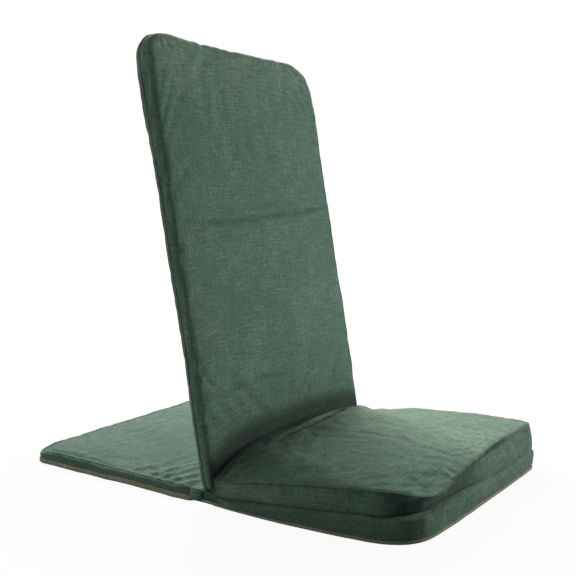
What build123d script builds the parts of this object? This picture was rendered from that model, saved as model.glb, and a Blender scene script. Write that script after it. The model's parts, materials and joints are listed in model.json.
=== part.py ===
from build123d import *
import os
from math import cos, radians, sin, sqrt

# Folding floor chair. Millimetres, +Z up, the chair faces -Y and stands on Z = 0.
# X = 0 is the middle of its width. Y = 0 is where the back of the backrest meets the floor.

# Overall sizes
WIDTH = 460.0                # seat cover and backrest cover
REAR_WIDER = 5.0             # how much further out the rear panel's cover is, at each side
SEAT_DEPTH = 368.0           # from Y = 0 to the front of the seat
REAR_REACH = 385.0           # from Y = 0 to the end of the rear panel
BACK_LENGTH = 725.0          # along the backrest from the floor to its top edge
RECLINE = 10.6               # degrees that the backrest leans back
BACK_THICK = 28.0
REAR_THICK = 20.0
CUSHION_TOP = 80.0           # crown of the seat cushion above the floor
CUSHION_END_DROP = 1.5       # how much lower the crown is at its front and rear ends
CUSHION_FRONT_EDGE = 77.0    # top seam at the front corners
CUSHION_REAR_EDGE = 42.0     # top seam at the rear corners, pulled down by the cover
CROWN_POWER = 4.0            # how flat the crown is across the width
SEAT_CORNER = 80.0           # front corners of the seat, seen from above
BACK_CORNER = 70.0           # top corners of the backrest
REAR_CORNER = 18.0           # rear corners of the rear panel
HINGE_CORNER = 8.0           # corners of the covers beside the link hinge
CLOTH = 1.0                  # canvas of the covers
BACK_EDGE = 5.0              # rounding along the edges of the backrest cover
REAR_EDGE = 4.0              # rounding along the edges of the rear cover

# Tubes
TUBE = 16.0
TUBE_WALL = 1.5
SEAT_BEND = 70.0             # bend radii on the tube's centre line
BACK_BEND = 55.0
REAR_BEND = 24.0
RAIL_INSET = 14.0            # from the side of the seat cover to the middle of the tube in it
TUBE_Z = 9.5                 # height of the tubes that lie on the floor
COVER_TO_TUBE = 6.0          # from the inside of a cover's end to the tube in it
SEAT_FOAM_NOSE = 16.0        # foam in front of the seat's front tube
BACK_TUBE_DEPTH = 10.0       # from the back of the backrest to its tubes' centre line
LOWER_RAIL_UP = 150.0        # rails of the backrest, along it from the floor
MID_RAIL_UP = 438.0
SEAT_RAIL_Y = -72.0
REAR_RAIL_PAST_PIN = 28.0

# Backrest hinge
FOLD_CLEARANCE = 0.6         # backrest to cushion when folded
EAR = 3.0
EAR_BOSS = 8.0
EAR_WAIST = 10.0
EAR_WAIST_AT = (-14.0, 22.0)
EAR_FOOT_FRONT = -50.0
EAR_FOOT_REAR = -4.0
EAR_FOOT_HEIGHT = 14.0
EAR_RIVETS_Y = (-40.0, -14.0)
SIDE_GAP = 0.1               # between flat steel parts that are clamped together
WASHER = 1.0
WASHER_OD = 16.0
BOLT = 8.0
BOLT_HEAD = (12.0, 1.2)      # diameter and height of the flush heads
BOLT_PAST_NUT = 1.5          # thread that shows past a nut
NUT_FLATS = 13.0
NUT = 6.5
RUNNING = 0.05               # radial clearance of pins that turn
FIT = 0.02                   # radial clearance of parts that don't turn
BUSH_WALL = 1.0
RIVET = 6.0
RIVET_HEAD = (11.0, 1.2)

# Recline stop
STOP_BAR = 12.0
STOP_Z = 31.0
STOP_BOSS = 7.5
COVER_GAP = 0.5              # backrest cover to seat cover
SOFT_GAP = 0.3               # foam and cloth to what is beside them
BUMPER = (12.0, 17.0)        # width and height of the rubber blocks on the legs
PLUG_FLANGE = 2.0
PLUG_LENGTH = 18.0
TAIL_CLEARANCE = 1.0         # backrest's lower end over the covers below it
SLOT_SIDE = 0.6              # cloth to a hinge part that passes through it
FOAM_EDGE = 2.0              # rounding along the edges of the backrest foam
TAB = (30.0, 1.2)
TAB_PITCH = 120.0
TABS = 3
TAB_UP = 34.0

# Link hinge of the rear panel
LINK_MIDDLE_Y = 13.0
LINK_GAP = 2.0               # between the undersides when the rear panel is folded under
LINK = 4.0
LINK_PIN = 8.0
LINK_HEAD = (11.0, 1.2)
SHOULDER_GAP = 0.1           # each square shoulder to the middle of the link
HINGE_PLUG = 24.0
LINK_DEPTH = 15.0            # height of a link on edge
COVER_PAST_PIN = 5.0         # the covers stop this far past the pins

# Values worked out from the sizes above
RAIL_X = WIDTH / 2 - RAIL_INSET
LEG_X = RAIL_X - WASHER
REAR_WIDTH = WIDTH + 2 * REAR_WIDER
LINK_SPAN = 2 * TUBE_Z + LINK_GAP
SEAT_PIN_Y = LINK_MIDDLE_Y - LINK_SPAN / 2
REAR_PIN_Y = LINK_MIDDLE_Y + LINK_SPAN / 2
SEAT_COVER_END = SEAT_PIN_Y + COVER_PAST_PIN
REAR_COVER_START = REAR_PIN_Y - COVER_PAST_PIN
SHOULDER = LINK_SPAN / 2 - SHOULDER_GAP
TONGUE = REAR_THICK
TUBE_R = TUBE / 2
LEAN = radians(RECLINE)
PIVOT_Z = CUSHION_TOP + BACK_THICK - BACK_TUBE_DEPTH + FOLD_CLEARANCE
PIVOT_UP = (PIVOT_Z - BACK_TUBE_DEPTH * sin(LEAN)) / cos(LEAN)
PIVOT_Y = PIVOT_UP * sin(LEAN) - BACK_TUBE_DEPTH * cos(LEAN)
TAIL_R = PIVOT_Z - TONGUE - TAIL_CLEARANCE
TAIL_UP = PIVOT_UP - TAIL_R
STOP_DEPTH = BACK_THICK + COVER_GAP + CLOTH + SOFT_GAP + STOP_BAR / 2
STOP_UP = (STOP_Z - STOP_DEPTH * sin(LEAN)) / cos(LEAN)
STOP_Y = STOP_UP * sin(LEAN) - STOP_DEPTH * cos(LEAN)
EAR_IN = RAIL_X + TUBE_R + SIDE_GAP
EAR_OUT = EAR_IN + EAR
LEG_BOTTOM = PIVOT_UP - sqrt((TAIL_R - SOFT_GAP) ** 2 - TUBE_R ** 2)
LINK_OUT = RAIL_X - TUBE_R - 2 * SIDE_GAP
LINK_IN = LINK_OUT - LINK
PAST = 1.0                   # how far a cut or a blank runs past the face that it crosses
BIG = 2000.0


def lean(shape):
    """Tips a piece drawn upright, back at Y = 0 and front towards -Y, to the recline."""
    return Rot(-RECLINE, 0, 0) * shape


def solid(shape):
    """The single solid of a boolean result."""
    return max(shape.solids(), key=lambda s: s.volume)


def across(diameter, x_from, x_to, y, z):
    """A round bar along X."""
    start = Plane(origin=(min(x_from, x_to), y, z), z_dir=(1, 0, 0))
    return extrude(start * Circle(diameter / 2), abs(x_to - x_from))


def block(x_range, y_range, z_range):
    """A box from its ranges."""
    size = [hi - lo for lo, hi in (x_range, y_range, z_range)]
    low = (x_range[0], y_range[0], z_range[0])
    return Pos(*low) * Box(*size, align=(Align.MIN, Align.MIN, Align.MIN))


def both(side):
    """The piece that side(+1) makes and its mirror image."""
    return [side(1), side(-1)]


def x_span(side, inner, outer):
    """A range along X at one side of the chair."""
    return (inner, outer) if side > 0 else (-outer, -inner)


def bent_tube(points, bend):
    """A round tube along straight runs with equal bends."""
    path = FilletPolyline(*points, radius=bend)
    start = Plane(origin=path @ 0, z_dir=path % 0)
    outer = sweep(start * Circle(TUBE_R), path=path)
    inner = sweep(start * Circle(TUBE_R - TUBE_WALL), path=path)
    return outer - inner


def coped_rail(x, y, z, side_tube_axis):
    """A cross tube whose ends are shaped to fit round the two side tubes at +-x."""
    rail = across(TUBE, -x, x, y, z) - across(TUBE - 2 * TUBE_WALL, -x, x, y, z)
    for side in (1, -1):
        start = Plane(origin=(side * x, y, z), z_dir=side_tube_axis)
        rail -= extrude(start * Circle(TUBE_R + FIT), TUBE, both=True)
    return solid(rail)


def hinge_end(pin_y, towards):
    """Side view of a tube's end at the link hinge, as a bar along X that fills it.

    The upper half is a square shoulder that butts against the other tube, so the hinge
    can't open upwards. The lower half is round about the pin, so it folds down freely.
    """
    lower = Circle(SHOULDER)
    upper = Pos(towards * SHOULDER / 2, TUBE_R) * Rectangle(SHOULDER, 2 * TUBE_R)
    run = Pos(-towards * BIG / 2, 0) * Rectangle(BIG, 4 * TUBE_R)
    profile = Plane(origin=(-BIG / 2, pin_y, TUBE_Z), x_dir=(0, 1, 0), z_dir=(1, 0, 0))
    return extrude(profile * (lower + upper + run), BIG)


def hinge_plug(side, pin_y, towards):
    """The insert that fills a tube's end and carries the link pin."""
    start = Plane(origin=(side * RAIL_X, pin_y + towards * (SHOULDER + PAST), TUBE_Z), z_dir=(0, -towards, 0))
    plug = extrude(start * Circle(TUBE_R - TUBE_WALL - FIT), HINGE_PLUG)
    return plug & hinge_end(pin_y, towards)


def link_hole(side, pin_y):
    """The hole through a tube's end for its link pin."""
    return across(LINK_PIN + 2 * RUNNING, side * (RAIL_X - TUBE), side * (RAIL_X + TUBE), pin_y, TUBE_Z)


def floor_outline(half, y_low, y_high, low_corner, high_corner):
    """A rectangle seen from above with its own radius at each end."""
    outline = Pos(0, (y_low + y_high) / 2) * Rectangle(2 * half, y_high - y_low)
    corners = outline.vertices().group_by(Axis.Y)
    outline = fillet(corners[0], low_corner)
    return fillet(outline.vertices().filter_by(lambda v: v.Y > y_high - 0.01), high_corner)


def seat_edge_z(y):
    """Height of the cushion's side seam, low at the rear corner and full at the front."""
    share = min(1.0, max(0.0, -y / SEAT_DEPTH))
    return CUSHION_REAR_EDGE + (CUSHION_FRONT_EDGE - CUSHION_REAR_EDGE) * (1 - (1 - share) ** 1.7)


def crown_section(y, inset):
    """The cushion's cross-section at y: flat below, crowned above."""
    middle = 2 * y / SEAT_DEPTH + 1
    centre_z = CUSHION_TOP - CUSHION_END_DROP * middle ** 2
    half = WIDTH / 2
    shares = [i / 4 for i in range(-4, 5)]
    top = []
    for share in shares:
        drop = (centre_z - seat_edge_z(y)) * abs(share) ** CROWN_POWER
        top.append((share * half, centre_z - drop - inset))
    sides = Polyline(top[-1], (half, -TONGUE), (-half, -TONGUE), top[0])
    return Plane(origin=(0, y, 0), x_dir=(1, 0, 0), z_dir=(0, -1, 0)) * make_face(Spline(*top) + sides)


def seat_form(inset):
    """The seat's outside, or the same form a little further in."""
    y_front = -SEAT_DEPTH + inset
    y_rear = SEAT_COVER_END - inset
    plan = floor_outline(WIDTH / 2 - inset, y_front, y_rear, SEAT_CORNER - inset, HINGE_CORNER - inset)
    column = extrude(Pos(0, 0, inset) * plan, CUSHION_TOP)
    stations = [TUBE, -SEAT_DEPTH / 3, -2 * SEAT_DEPTH / 3, -SEAT_DEPTH - TUBE]
    crowned = loft([crown_section(y, inset) for y in stations])
    behind = lean(block((-BIG, BIG), (-BACK_THICK - COVER_GAP - inset, BIG), (-BIG, BIG)))
    above = block((-BIG, BIG), (-BIG, BIG), (TONGUE - inset, BIG))
    return solid((column & crowned) - (behind & above))


def ear_profile(grow):
    """Side view of a hinge ear: foot on the rail, waist, pivot boss and stop boss."""
    foot_mid = (EAR_FOOT_FRONT + EAR_FOOT_REAR) / 2
    foot = Pos(foot_mid, TUBE_Z) * RectangleRounded(
        EAR_FOOT_REAR - EAR_FOOT_FRONT + 2 * grow, EAR_FOOT_HEIGHT + 2 * grow, TUBE_R / 2)
    waist = Pos(*EAR_WAIST_AT) * Circle(EAR_WAIST + grow)
    pivot = Pos(PIVOT_Y, PIVOT_Z) * Circle(EAR_BOSS + grow)
    stop = Pos(STOP_Y, STOP_Z) * Circle(STOP_BOSS + grow)
    neck = make_hull(waist.edges() + pivot.edges())
    arm = make_hull(waist.edges() + stop.edges())
    return foot + neck + arm


def ear_plate(side, grow):
    """An ear, or the space round it when grow is more than 0."""
    start = Plane(origin=(side * (EAR_IN - grow), 0, 0), x_dir=(0, 1, 0), z_dir=(1, 0, 0))
    return extrude(start * ear_profile(grow), side * (EAR + 2 * grow))


def hinge_ear(side):
    """A steel plate that carries the backrest's pivot and the stop bar."""
    ear = ear_plate(side, 0)
    ear -= across(BOLT + 2 * FIT, side * EAR_IN, side * EAR_OUT, PIVOT_Y, PIVOT_Z)
    ear -= across(STOP_BAR + 2 * FIT, side * EAR_IN, side * EAR_OUT, STOP_Y, STOP_Z)
    for y in EAR_RIVETS_Y:
        ear -= across(RIVET + 2 * FIT, side * EAR_IN, side * EAR_OUT, y, TUBE_Z)
    return solid(ear)


def headed(side, x_out, x_in, shank, head, y, z):
    """A round pin along X with a flush head at its outer end."""
    body = across(shank, side * x_in, side * x_out, y, z)
    return body + across(head[0], side * x_out, side * (x_out + head[1]), y, z)


def ear_rivet(side, y):
    """A rivet that holds an ear to the seat's side tube."""
    tail = RAIL_X - TUBE_R - SIDE_GAP / 2
    rivet = headed(side, EAR_OUT + FIT, tail, RIVET, RIVET_HEAD, y, TUBE_Z)
    return rivet + across(RIVET_HEAD[0], side * (tail - RIVET_HEAD[1]), side * tail, y, TUBE_Z)


def pivot_bolt(side):
    """The bolt that the backrest turns on."""
    end = LEG_X - TUBE_R - WASHER - 2 * SIDE_GAP - NUT - BOLT_PAST_NUT
    return headed(side, EAR_OUT + FIT, end, BOLT, BOLT_HEAD, PIVOT_Y, PIVOT_Z)


def washer(side, x_in):
    """A plain washer on a pivot bolt."""
    ring = across(WASHER_OD, side * x_in, side * (x_in + WASHER), PIVOT_Y, PIVOT_Z)
    return ring - across(BOLT + 2 * FIT, side * x_in, side * (x_in + WASHER), PIVOT_Y, PIVOT_Z)


def pivot_nut(side):
    """The nut inside the leg."""
    x_out = LEG_X - TUBE_R - WASHER - 2 * SIDE_GAP
    start = Plane(origin=(side * x_out, PIVOT_Y, PIVOT_Z), x_dir=(0, 1, 0), z_dir=(-side, 0, 0))
    hexagon = RegularPolygon(NUT_FLATS / 2, 6, major_radius=False)
    return extrude(start * (hexagon - Circle(BOLT / 2 + FIT)), NUT)


def seat_frame():
    """The U-shaped tube that runs round the seat, flat on the floor."""
    front = -SEAT_DEPTH + CLOTH + SEAT_FOAM_NOSE + TUBE_R
    end = SEAT_PIN_Y + SHOULDER + PAST
    points = [(-RAIL_X, end, TUBE_Z), (-RAIL_X, front, TUBE_Z), (RAIL_X, front, TUBE_Z), (RAIL_X, end, TUBE_Z)]
    frame = bent_tube(points, SEAT_BEND) & hinge_end(SEAT_PIN_Y, 1)
    for side in (1, -1):
        frame -= link_hole(side, SEAT_PIN_Y)
        for y in EAR_RIVETS_Y:
            frame -= across(RIVET + 2 * FIT, side * (RAIL_X - TUBE), side * (RAIL_X + TUBE), y, TUBE_Z)
    return solid(frame)


def rear_frame():
    """The U-shaped tube of the rear panel."""
    back = REAR_REACH - CLOTH - COVER_TO_TUBE - TUBE_R
    end = REAR_PIN_Y - SHOULDER - PAST
    points = [(-RAIL_X, end, TUBE_Z), (-RAIL_X, back, TUBE_Z), (RAIL_X, back, TUBE_Z), (RAIL_X, end, TUBE_Z)]
    frame = bent_tube(points, REAR_BEND) & hinge_end(REAR_PIN_Y, -1)
    for side in (1, -1):
        frame -= link_hole(side, REAR_PIN_Y)
    return solid(frame)


def backrest_frame():
    """The tall U-shaped tube of the backrest, legs down, with the pivot holes."""
    top = BACK_LENGTH - CLOTH - COVER_TO_TUBE - TUBE_R
    foot = LEG_BOTTOM + PLUG_FLANGE
    y = -BACK_TUBE_DEPTH
    points = [(-LEG_X, y, foot), (-LEG_X, y, top), (LEG_X, y, top), (LEG_X, y, foot)]
    frame = bent_tube(points, BACK_BEND)
    for side in (1, -1):
        hole = across(BOLT + 2 * BUSH_WALL + 4 * RUNNING, side * (LEG_X - TUBE), side * (LEG_X + TUBE), y, PIVOT_UP)
        frame -= hole
    return lean(solid(frame))


def pivot_bush(side):
    """The nylon sleeve through a leg."""
    bore = BOLT + 2 * RUNNING
    sleeve = [LEG_X - TUBE_R + FIT, LEG_X + TUBE_R - FIT]
    bush = across(bore + 2 * BUSH_WALL, side * sleeve[0], side * sleeve[1], PIVOT_Y, PIVOT_Z)
    return bush - across(bore, side * sleeve[0], side * sleeve[1], PIVOT_Y, PIVOT_Z)


def leg_plug(side):
    """The plastic plug in the lower end of a leg."""
    start = Plane(origin=(side * LEG_X, -BACK_TUBE_DEPTH, LEG_BOTTOM), z_dir=(0, 0, 1))
    plug = extrude(start * Circle(TUBE_R), PLUG_FLANGE - FIT)
    plug += extrude(start * Circle(TUBE_R - TUBE_WALL - FIT), PLUG_LENGTH)
    return lean(plug)


def leg_bumper(side):
    """The rubber block on the front of a leg, pressed on the stop bar through the covers."""
    width, height = BUMPER
    x_range = (side * LEG_X - width / 2, side * LEG_X + width / 2)
    y_range = (-BACK_THICK + CLOTH + SIDE_GAP, -BACK_TUBE_DEPTH)
    pad = block(x_range, y_range, (LEG_BOTTOM + PLUG_FLANGE / 2, LEG_BOTTOM + PLUG_FLANGE / 2 + height))
    start = Plane(origin=(side * LEG_X, -BACK_TUBE_DEPTH, 0), z_dir=(0, 0, 1))
    pad -= extrude(start * Circle(TUBE_R + SIDE_GAP), BACK_LENGTH)
    return lean(solid(pad))


def backrest_rail(up):
    """A cross tube of the backrest."""
    return lean(coped_rail(LEG_X, -BACK_TUBE_DEPTH, up, (0, 0, 1)))


def backrest_slab(inset, front_inset, back_inset, bottom, edge):
    """A slab with the backrest's outline, its upper corners and all its long edges rounded."""
    half = WIDTH / 2 - inset
    top = BACK_LENGTH - inset
    outline = Pos(0, (top + bottom) / 2) * Rectangle(2 * half, top - bottom)
    outline = fillet(outline.vertices().group_by(Axis.Y)[-1], BACK_CORNER - inset)
    start = Plane(origin=(0, -back_inset, 0), x_dir=(1, 0, 0), z_dir=(0, -1, 0))
    slab = extrude(start * outline, BACK_THICK - front_inset - back_inset)
    if edge > 0:
        faces = slab.faces().sort_by(Axis.Y)
        long_edges = ShapeList(faces[0].edges() + faces[-1].edges())
        slab = fillet([e for e in long_edges if e.center().Z > bottom + PAST], edge)
    return slab


def backrest_foam():
    """The thin foam sheet in front of the backrest's tubes."""
    front = CLOTH + SOFT_GAP
    back = BACK_TUBE_DEPTH + TUBE_R + SOFT_GAP
    bottom = LEG_BOTTOM + PLUG_FLANGE + BUMPER[1] + 2 * SOFT_GAP
    inset = WIDTH / 2 - EAR_IN + 2 * WASHER
    return lean(backrest_slab(inset, front, back, bottom, FOAM_EDGE))


def backrest_cover():
    """The canvas sleeve of the backrest, open below, with a slot beside each ear."""
    bottom = TAIL_UP - TUBE
    sleeve = backrest_slab(0, 0, 0, bottom, BACK_EDGE)
    sleeve -= backrest_slab(CLOTH, CLOTH, CLOTH, bottom - TUBE, BACK_EDGE - CLOTH)
    swing = across(2 * TAIL_R, -WIDTH, WIDTH, -BACK_TUBE_DEPTH, PIVOT_UP)
    sleeve &= swing + block((-WIDTH, WIDTH), (-BIG, BIG), (PIVOT_UP, BIG))
    slot_top = PIVOT_UP + 2 * EAR_BOSS
    for side in (1, -1):
        x_range = x_span(side, EAR_IN - SLOT_SIDE, WIDTH / 2 - CLOTH)
        sleeve -= block(x_range, (-BIG, -BACK_TUBE_DEPTH - EAR_BOSS), (0, slot_top))
    return lean(solid(sleeve))


def closure_tab(x):
    """A strap that joins the front and back of the backrest cover below its foam."""
    width, thick = TAB
    y_range = (-BACK_THICK + CLOTH + SIDE_GAP, -CLOTH - SIDE_GAP)
    return lean(block((x - width / 2, x + width / 2), y_range, (TAB_UP, TAB_UP + thick)))


def link_plate(side):
    """The steel link that joins the seat's tube to the rear panel's."""
    start = Plane(origin=(side * LINK_IN, LINK_MIDDLE_Y, TUBE_Z), x_dir=(0, 1, 0), z_dir=(side, 0, 0))
    plate = extrude(start * SlotCenterToCenter(LINK_SPAN, LINK_DEPTH), LINK)
    for y in (SEAT_PIN_Y, REAR_PIN_Y):
        plate -= across(LINK_PIN + 2 * FIT, side * LINK_IN, side * LINK_OUT, y, TUBE_Z)
    return solid(plate)


def link_pin(side, y):
    """A pin riveted to a link, turning in the plug of a tube's end."""
    x_out = RAIL_X + TUBE_R + SIDE_GAP
    x_in = LINK_IN - FIT
    pin = headed(side, x_out, x_in, LINK_PIN, LINK_HEAD, y, TUBE_Z)
    return pin + across(LINK_HEAD[0], side * (x_in - LINK_HEAD[1]), side * x_in, y, TUBE_Z)


def link_way(side, pin_y, towards):
    """The room that a link, its pin's heads and the tube's end sweep where a cover ends."""
    mouth = pin_y + towards * (COVER_PAST_PIN + PAST)
    behind_pin = pin_y - towards * (TUBE_R + SLOT_SIDE)
    past_edge = mouth - towards * (PAST + REAR_EDGE + CLOTH)
    link_in = LINK_IN - LINK_HEAD[1] - SLOT_SIDE
    z_range = (-CLOTH, REAR_THICK - CLOTH)
    link = block(x_span(side, link_in, LINK_OUT + SLOT_SIDE), sorted((mouth, behind_pin)), z_range)
    tube_out = RAIL_X + TUBE_R + LINK_HEAD[1] + SLOT_SIDE
    return link + block(x_span(side, link_in, tube_out), sorted((mouth, past_edge)), z_range)


def seat_cover():
    """The canvas box of the seat with the thin tongue that runs under the backrest."""
    cover = seat_form(0) - seat_form(CLOTH)
    for side in (1, -1):
        cover -= ear_plate(side, SLOT_SIDE)
        cover -= link_way(side, SEAT_PIN_Y, 1)
    return solid(cover)


def seat_foam():
    """The foam slab, on top of the tubes, cut back for the stop bar and the ears."""
    foam = seat_form(CLOTH + SOFT_GAP)
    foam -= block((-BIG, BIG), (-BIG, BIG), (-BIG, TUBE_Z + TUBE_R + SOFT_GAP))
    rebate_front = STOP_Y - STOP_BOSS - 2 * SOFT_GAP
    foam -= block((-BIG, BIG), (rebate_front, BIG), (-BIG, STOP_Z + STOP_BOSS + 2 * SOFT_GAP))
    for side in (1, -1):
        foam -= block(x_span(side, EAR_IN - SLOT_SIDE, WIDTH), (EAR_FOOT_FRONT - SLOT_SIDE, BIG), (-BIG, BIG))
    return solid(foam)


def rear_form(inset):
    """The rear panel's outside, or the same form a little further in."""
    y_range = (REAR_COVER_START + inset, REAR_REACH - inset)
    plan = floor_outline(REAR_WIDTH / 2 - inset, *y_range, HINGE_CORNER - inset, REAR_CORNER - inset)
    panel = extrude(Pos(0, 0, inset) * plan, REAR_THICK - 2 * inset)
    rims = ShapeList(panel.faces().sort_by(Axis.Z)[0].edges() + panel.faces().sort_by(Axis.Z)[-1].edges())
    return fillet(rims, REAR_EDGE - inset)


def rear_cover():
    """The canvas cover of the rear panel."""
    cover = rear_form(0) - rear_form(CLOTH)
    for side in (1, -1):
        cover -= link_way(side, REAR_PIN_Y, -1)
    return solid(cover)


nodes = {
    "seat_frame": [seat_frame()],
    "seat_cross_rail": [coped_rail(RAIL_X, SEAT_RAIL_Y, TUBE_Z, (0, 1, 0))],
    "seat_hinge_plugs": both(lambda s: hinge_plug(s, SEAT_PIN_Y, 1) - link_hole(s, SEAT_PIN_Y)),
    "stop_bar": [across(STOP_BAR, -EAR_OUT, EAR_OUT, STOP_Y, STOP_Z)],
    "hinge_ear_left": [hinge_ear(-1)],
    "hinge_ear_right": [hinge_ear(1)],
    "ear_rivets": [ear_rivet(side, y) for side in (1, -1) for y in EAR_RIVETS_Y],
    "pivot_bolts": both(pivot_bolt),
    "pivot_washers": both(lambda s: washer(s, LEG_X + TUBE_R + SIDE_GAP / 2))
    + both(lambda s: washer(s, LEG_X - TUBE_R - WASHER - SIDE_GAP)),
    "pivot_nuts": both(pivot_nut),
    "seat_foam": [seat_foam()],
    "seat_cover": [seat_cover()],
    "backrest_frame": [backrest_frame()],
    "backrest_lower_rail": [backrest_rail(LOWER_RAIL_UP)],
    "backrest_mid_rail": [backrest_rail(MID_RAIL_UP)],
    "pivot_bushes": both(pivot_bush),
    "leg_plugs": both(leg_plug),
    "leg_bumpers": both(leg_bumper),
    "backrest_foam": [backrest_foam()],
    "backrest_cover": [backrest_cover()],
    "closure_tabs": [closure_tab((i - (TABS - 1) / 2) * TAB_PITCH) for i in range(TABS)],
    "link_plate_left": [link_plate(-1)],
    "link_plate_right": [link_plate(1)],
    "link_pins": [link_pin(side, y) for side in (1, -1) for y in (SEAT_PIN_Y, REAR_PIN_Y)],
    "rear_frame": [rear_frame()],
    "rear_cross_rail": [coped_rail(RAIL_X, REAR_PIN_Y + REAR_RAIL_PAST_PIN, TUBE_Z, (0, 1, 0))],
    "rear_hinge_plugs": both(lambda s: hinge_plug(s, REAR_PIN_Y, -1) - link_hole(s, REAR_PIN_Y)),
    "rear_cover": [rear_cover()],
}

os.makedirs("parts", exist_ok=True)
for name, pieces in nodes.items():
    solids = [solid(piece) for piece in pieces]
    export_step(solids[0] if len(solids) == 1 else Compound(children=solids), f"parts/{name}.step")
print("pivot", round(PIVOT_Y, 3), round(PIVOT_Z, 3), "pins", SEAT_PIN_Y, REAR_PIN_Y, TUBE_Z)
print("stop", round(STOP_Y, 3), STOP_Z, "leg bottom", round(LEG_BOTTOM, 3), "tail", round(TAIL_R, 3))
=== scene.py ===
"""Looks of a folding floor chair: sewn canvas covers, foam, frame finishes and a plain studio."""
import json
from math import atan2, cos, pi, radians, sin

import bpy
import numpy as np
from bpy.props import FloatProperty, FloatVectorProperty, IntProperty, PointerProperty
from mathutils import Matrix, Vector, noise
from mathutils.bvhtree import BVHTree
from mathutils.kdtree import KDTree


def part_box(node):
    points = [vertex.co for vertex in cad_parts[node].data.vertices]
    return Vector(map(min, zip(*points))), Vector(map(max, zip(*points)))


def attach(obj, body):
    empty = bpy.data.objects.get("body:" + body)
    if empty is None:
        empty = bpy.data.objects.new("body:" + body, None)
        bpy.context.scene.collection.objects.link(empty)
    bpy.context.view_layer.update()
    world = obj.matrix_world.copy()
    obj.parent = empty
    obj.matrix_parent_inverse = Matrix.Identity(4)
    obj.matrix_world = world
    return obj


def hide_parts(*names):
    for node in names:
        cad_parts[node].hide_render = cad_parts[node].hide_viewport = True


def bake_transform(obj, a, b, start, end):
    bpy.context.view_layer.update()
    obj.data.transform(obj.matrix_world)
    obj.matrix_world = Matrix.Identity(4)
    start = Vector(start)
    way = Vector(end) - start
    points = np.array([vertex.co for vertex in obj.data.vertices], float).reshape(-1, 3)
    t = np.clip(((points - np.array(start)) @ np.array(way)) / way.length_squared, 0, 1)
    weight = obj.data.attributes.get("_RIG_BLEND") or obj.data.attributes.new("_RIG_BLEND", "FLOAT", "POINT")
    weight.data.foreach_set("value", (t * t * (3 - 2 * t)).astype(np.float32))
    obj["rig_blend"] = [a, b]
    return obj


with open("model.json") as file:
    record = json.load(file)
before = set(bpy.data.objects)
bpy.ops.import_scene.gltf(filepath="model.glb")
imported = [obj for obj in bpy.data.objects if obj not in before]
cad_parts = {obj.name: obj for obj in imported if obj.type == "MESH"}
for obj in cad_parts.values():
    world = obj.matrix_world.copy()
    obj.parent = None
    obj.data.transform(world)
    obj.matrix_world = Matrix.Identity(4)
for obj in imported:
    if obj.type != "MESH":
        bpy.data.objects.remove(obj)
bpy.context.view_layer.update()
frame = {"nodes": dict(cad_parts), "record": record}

bl_info = {
    "name": "Folding floor chair",
    "version": (1, 0, 0),
    "blender": (4, 5, 0),
    "location": "View3D > Sidebar > Floor chair",
    "description": "Sewn canvas covers, foam, frame finishes and studio for a folding floor chair",
    "category": "Add Mesh",
}

# Places taken from the frame


def middle(node_name):
    """The middle of a frame node's box."""
    low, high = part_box(node_name)
    return (low + high) / 2


def reach(node_name, way):
    """How far a frame node goes in a direction."""
    return max(v.co.dot(way) for v in frame["nodes"][node_name].data.vertices)


RISE = middle("backrest_mid_rail") - middle("backrest_lower_rail")
RECLINE = atan2(RISE.y, RISE.z)
ACROSS = Vector((1, 0, 0))
UP = Vector((0, sin(RECLINE), cos(RECLINE)))
OUT = Vector((0, -cos(RECLINE), sin(RECLINE)))
HALF = reach("seat_cover", ACROSS)
BACK_TOP = reach("backrest_cover", UP)
BACK_LOW = -reach("backrest_cover", -UP)
BACK_THICK = reach("backrest_cover", OUT)
REAR_HALF = reach("rear_cover", ACROSS)
REAR_START, REAR_END = (corner.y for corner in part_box("rear_cover"))
REAR_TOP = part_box("rear_cover")[1].z
SEAT_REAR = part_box("seat_cover")[1].y
CUSHION_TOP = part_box("seat_cover")[1].z
FLOOR_GAP = 0.0002
HINGE_MIDDLE = middle("link_pins").y
FILL_FRAMES = 20  # of the cloth simulation
LINE_STEP = 0.003  # from point to point of a seam's line
SEAM_LIFT = 0.0003  # of a seam's line above the cloth
STITCH_LIFT = 0.0002


# Settings that a user would change


class CanvasSettings(bpy.types.PropertyGroup):
    """The cloth of the covers."""
    green: FloatVectorProperty(name="Green", description="Colour of the canvas", subtype="COLOR",
                               default=(0.103, 0.189, 0.139))
    # The faded green is also what the stored painted light mixes towards, paling the lit parts of the
    # cushion.
    faded: FloatVectorProperty(name="Faded green", description="Colour where the canvas is worn or dusty",
                               subtype="COLOR", default=(0.202, 0.305, 0.226))
    hem: FloatVectorProperty(name="Hem", description="Colour of the bound lower edges", subtype="COLOR",
                             default=(0.300, 0.290, 0.225))
    thread: FloatProperty(name="Thread pitch", description="Distance from thread to thread", unit="LENGTH",
                          default=0.0008)
    cord: FloatProperty(name="Seam", description="Radius of the raised seams", unit="LENGTH", default=0.0008)
    stitch: FloatProperty(name="Stitch pitch", description="Distance from stitch to stitch", unit="LENGTH",
                          default=0.0036)


class SeatSettings(bpy.types.PropertyGroup):
    """The cushion."""
    columns: IntProperty(name="Columns", description="Faces across the cushion before smoothing", default=84)
    rows: IntProperty(name="Rows", description="Faces along the cushion before smoothing", default=80)
    pressure: FloatProperty(name="Fill pressure", description="How hard the foam fills the cover",
                            default=3.0)
    swell: FloatProperty(name="Largest swell", description="How far the filling may move the cloth",
                         unit="LENGTH", default=0.006)


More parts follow.
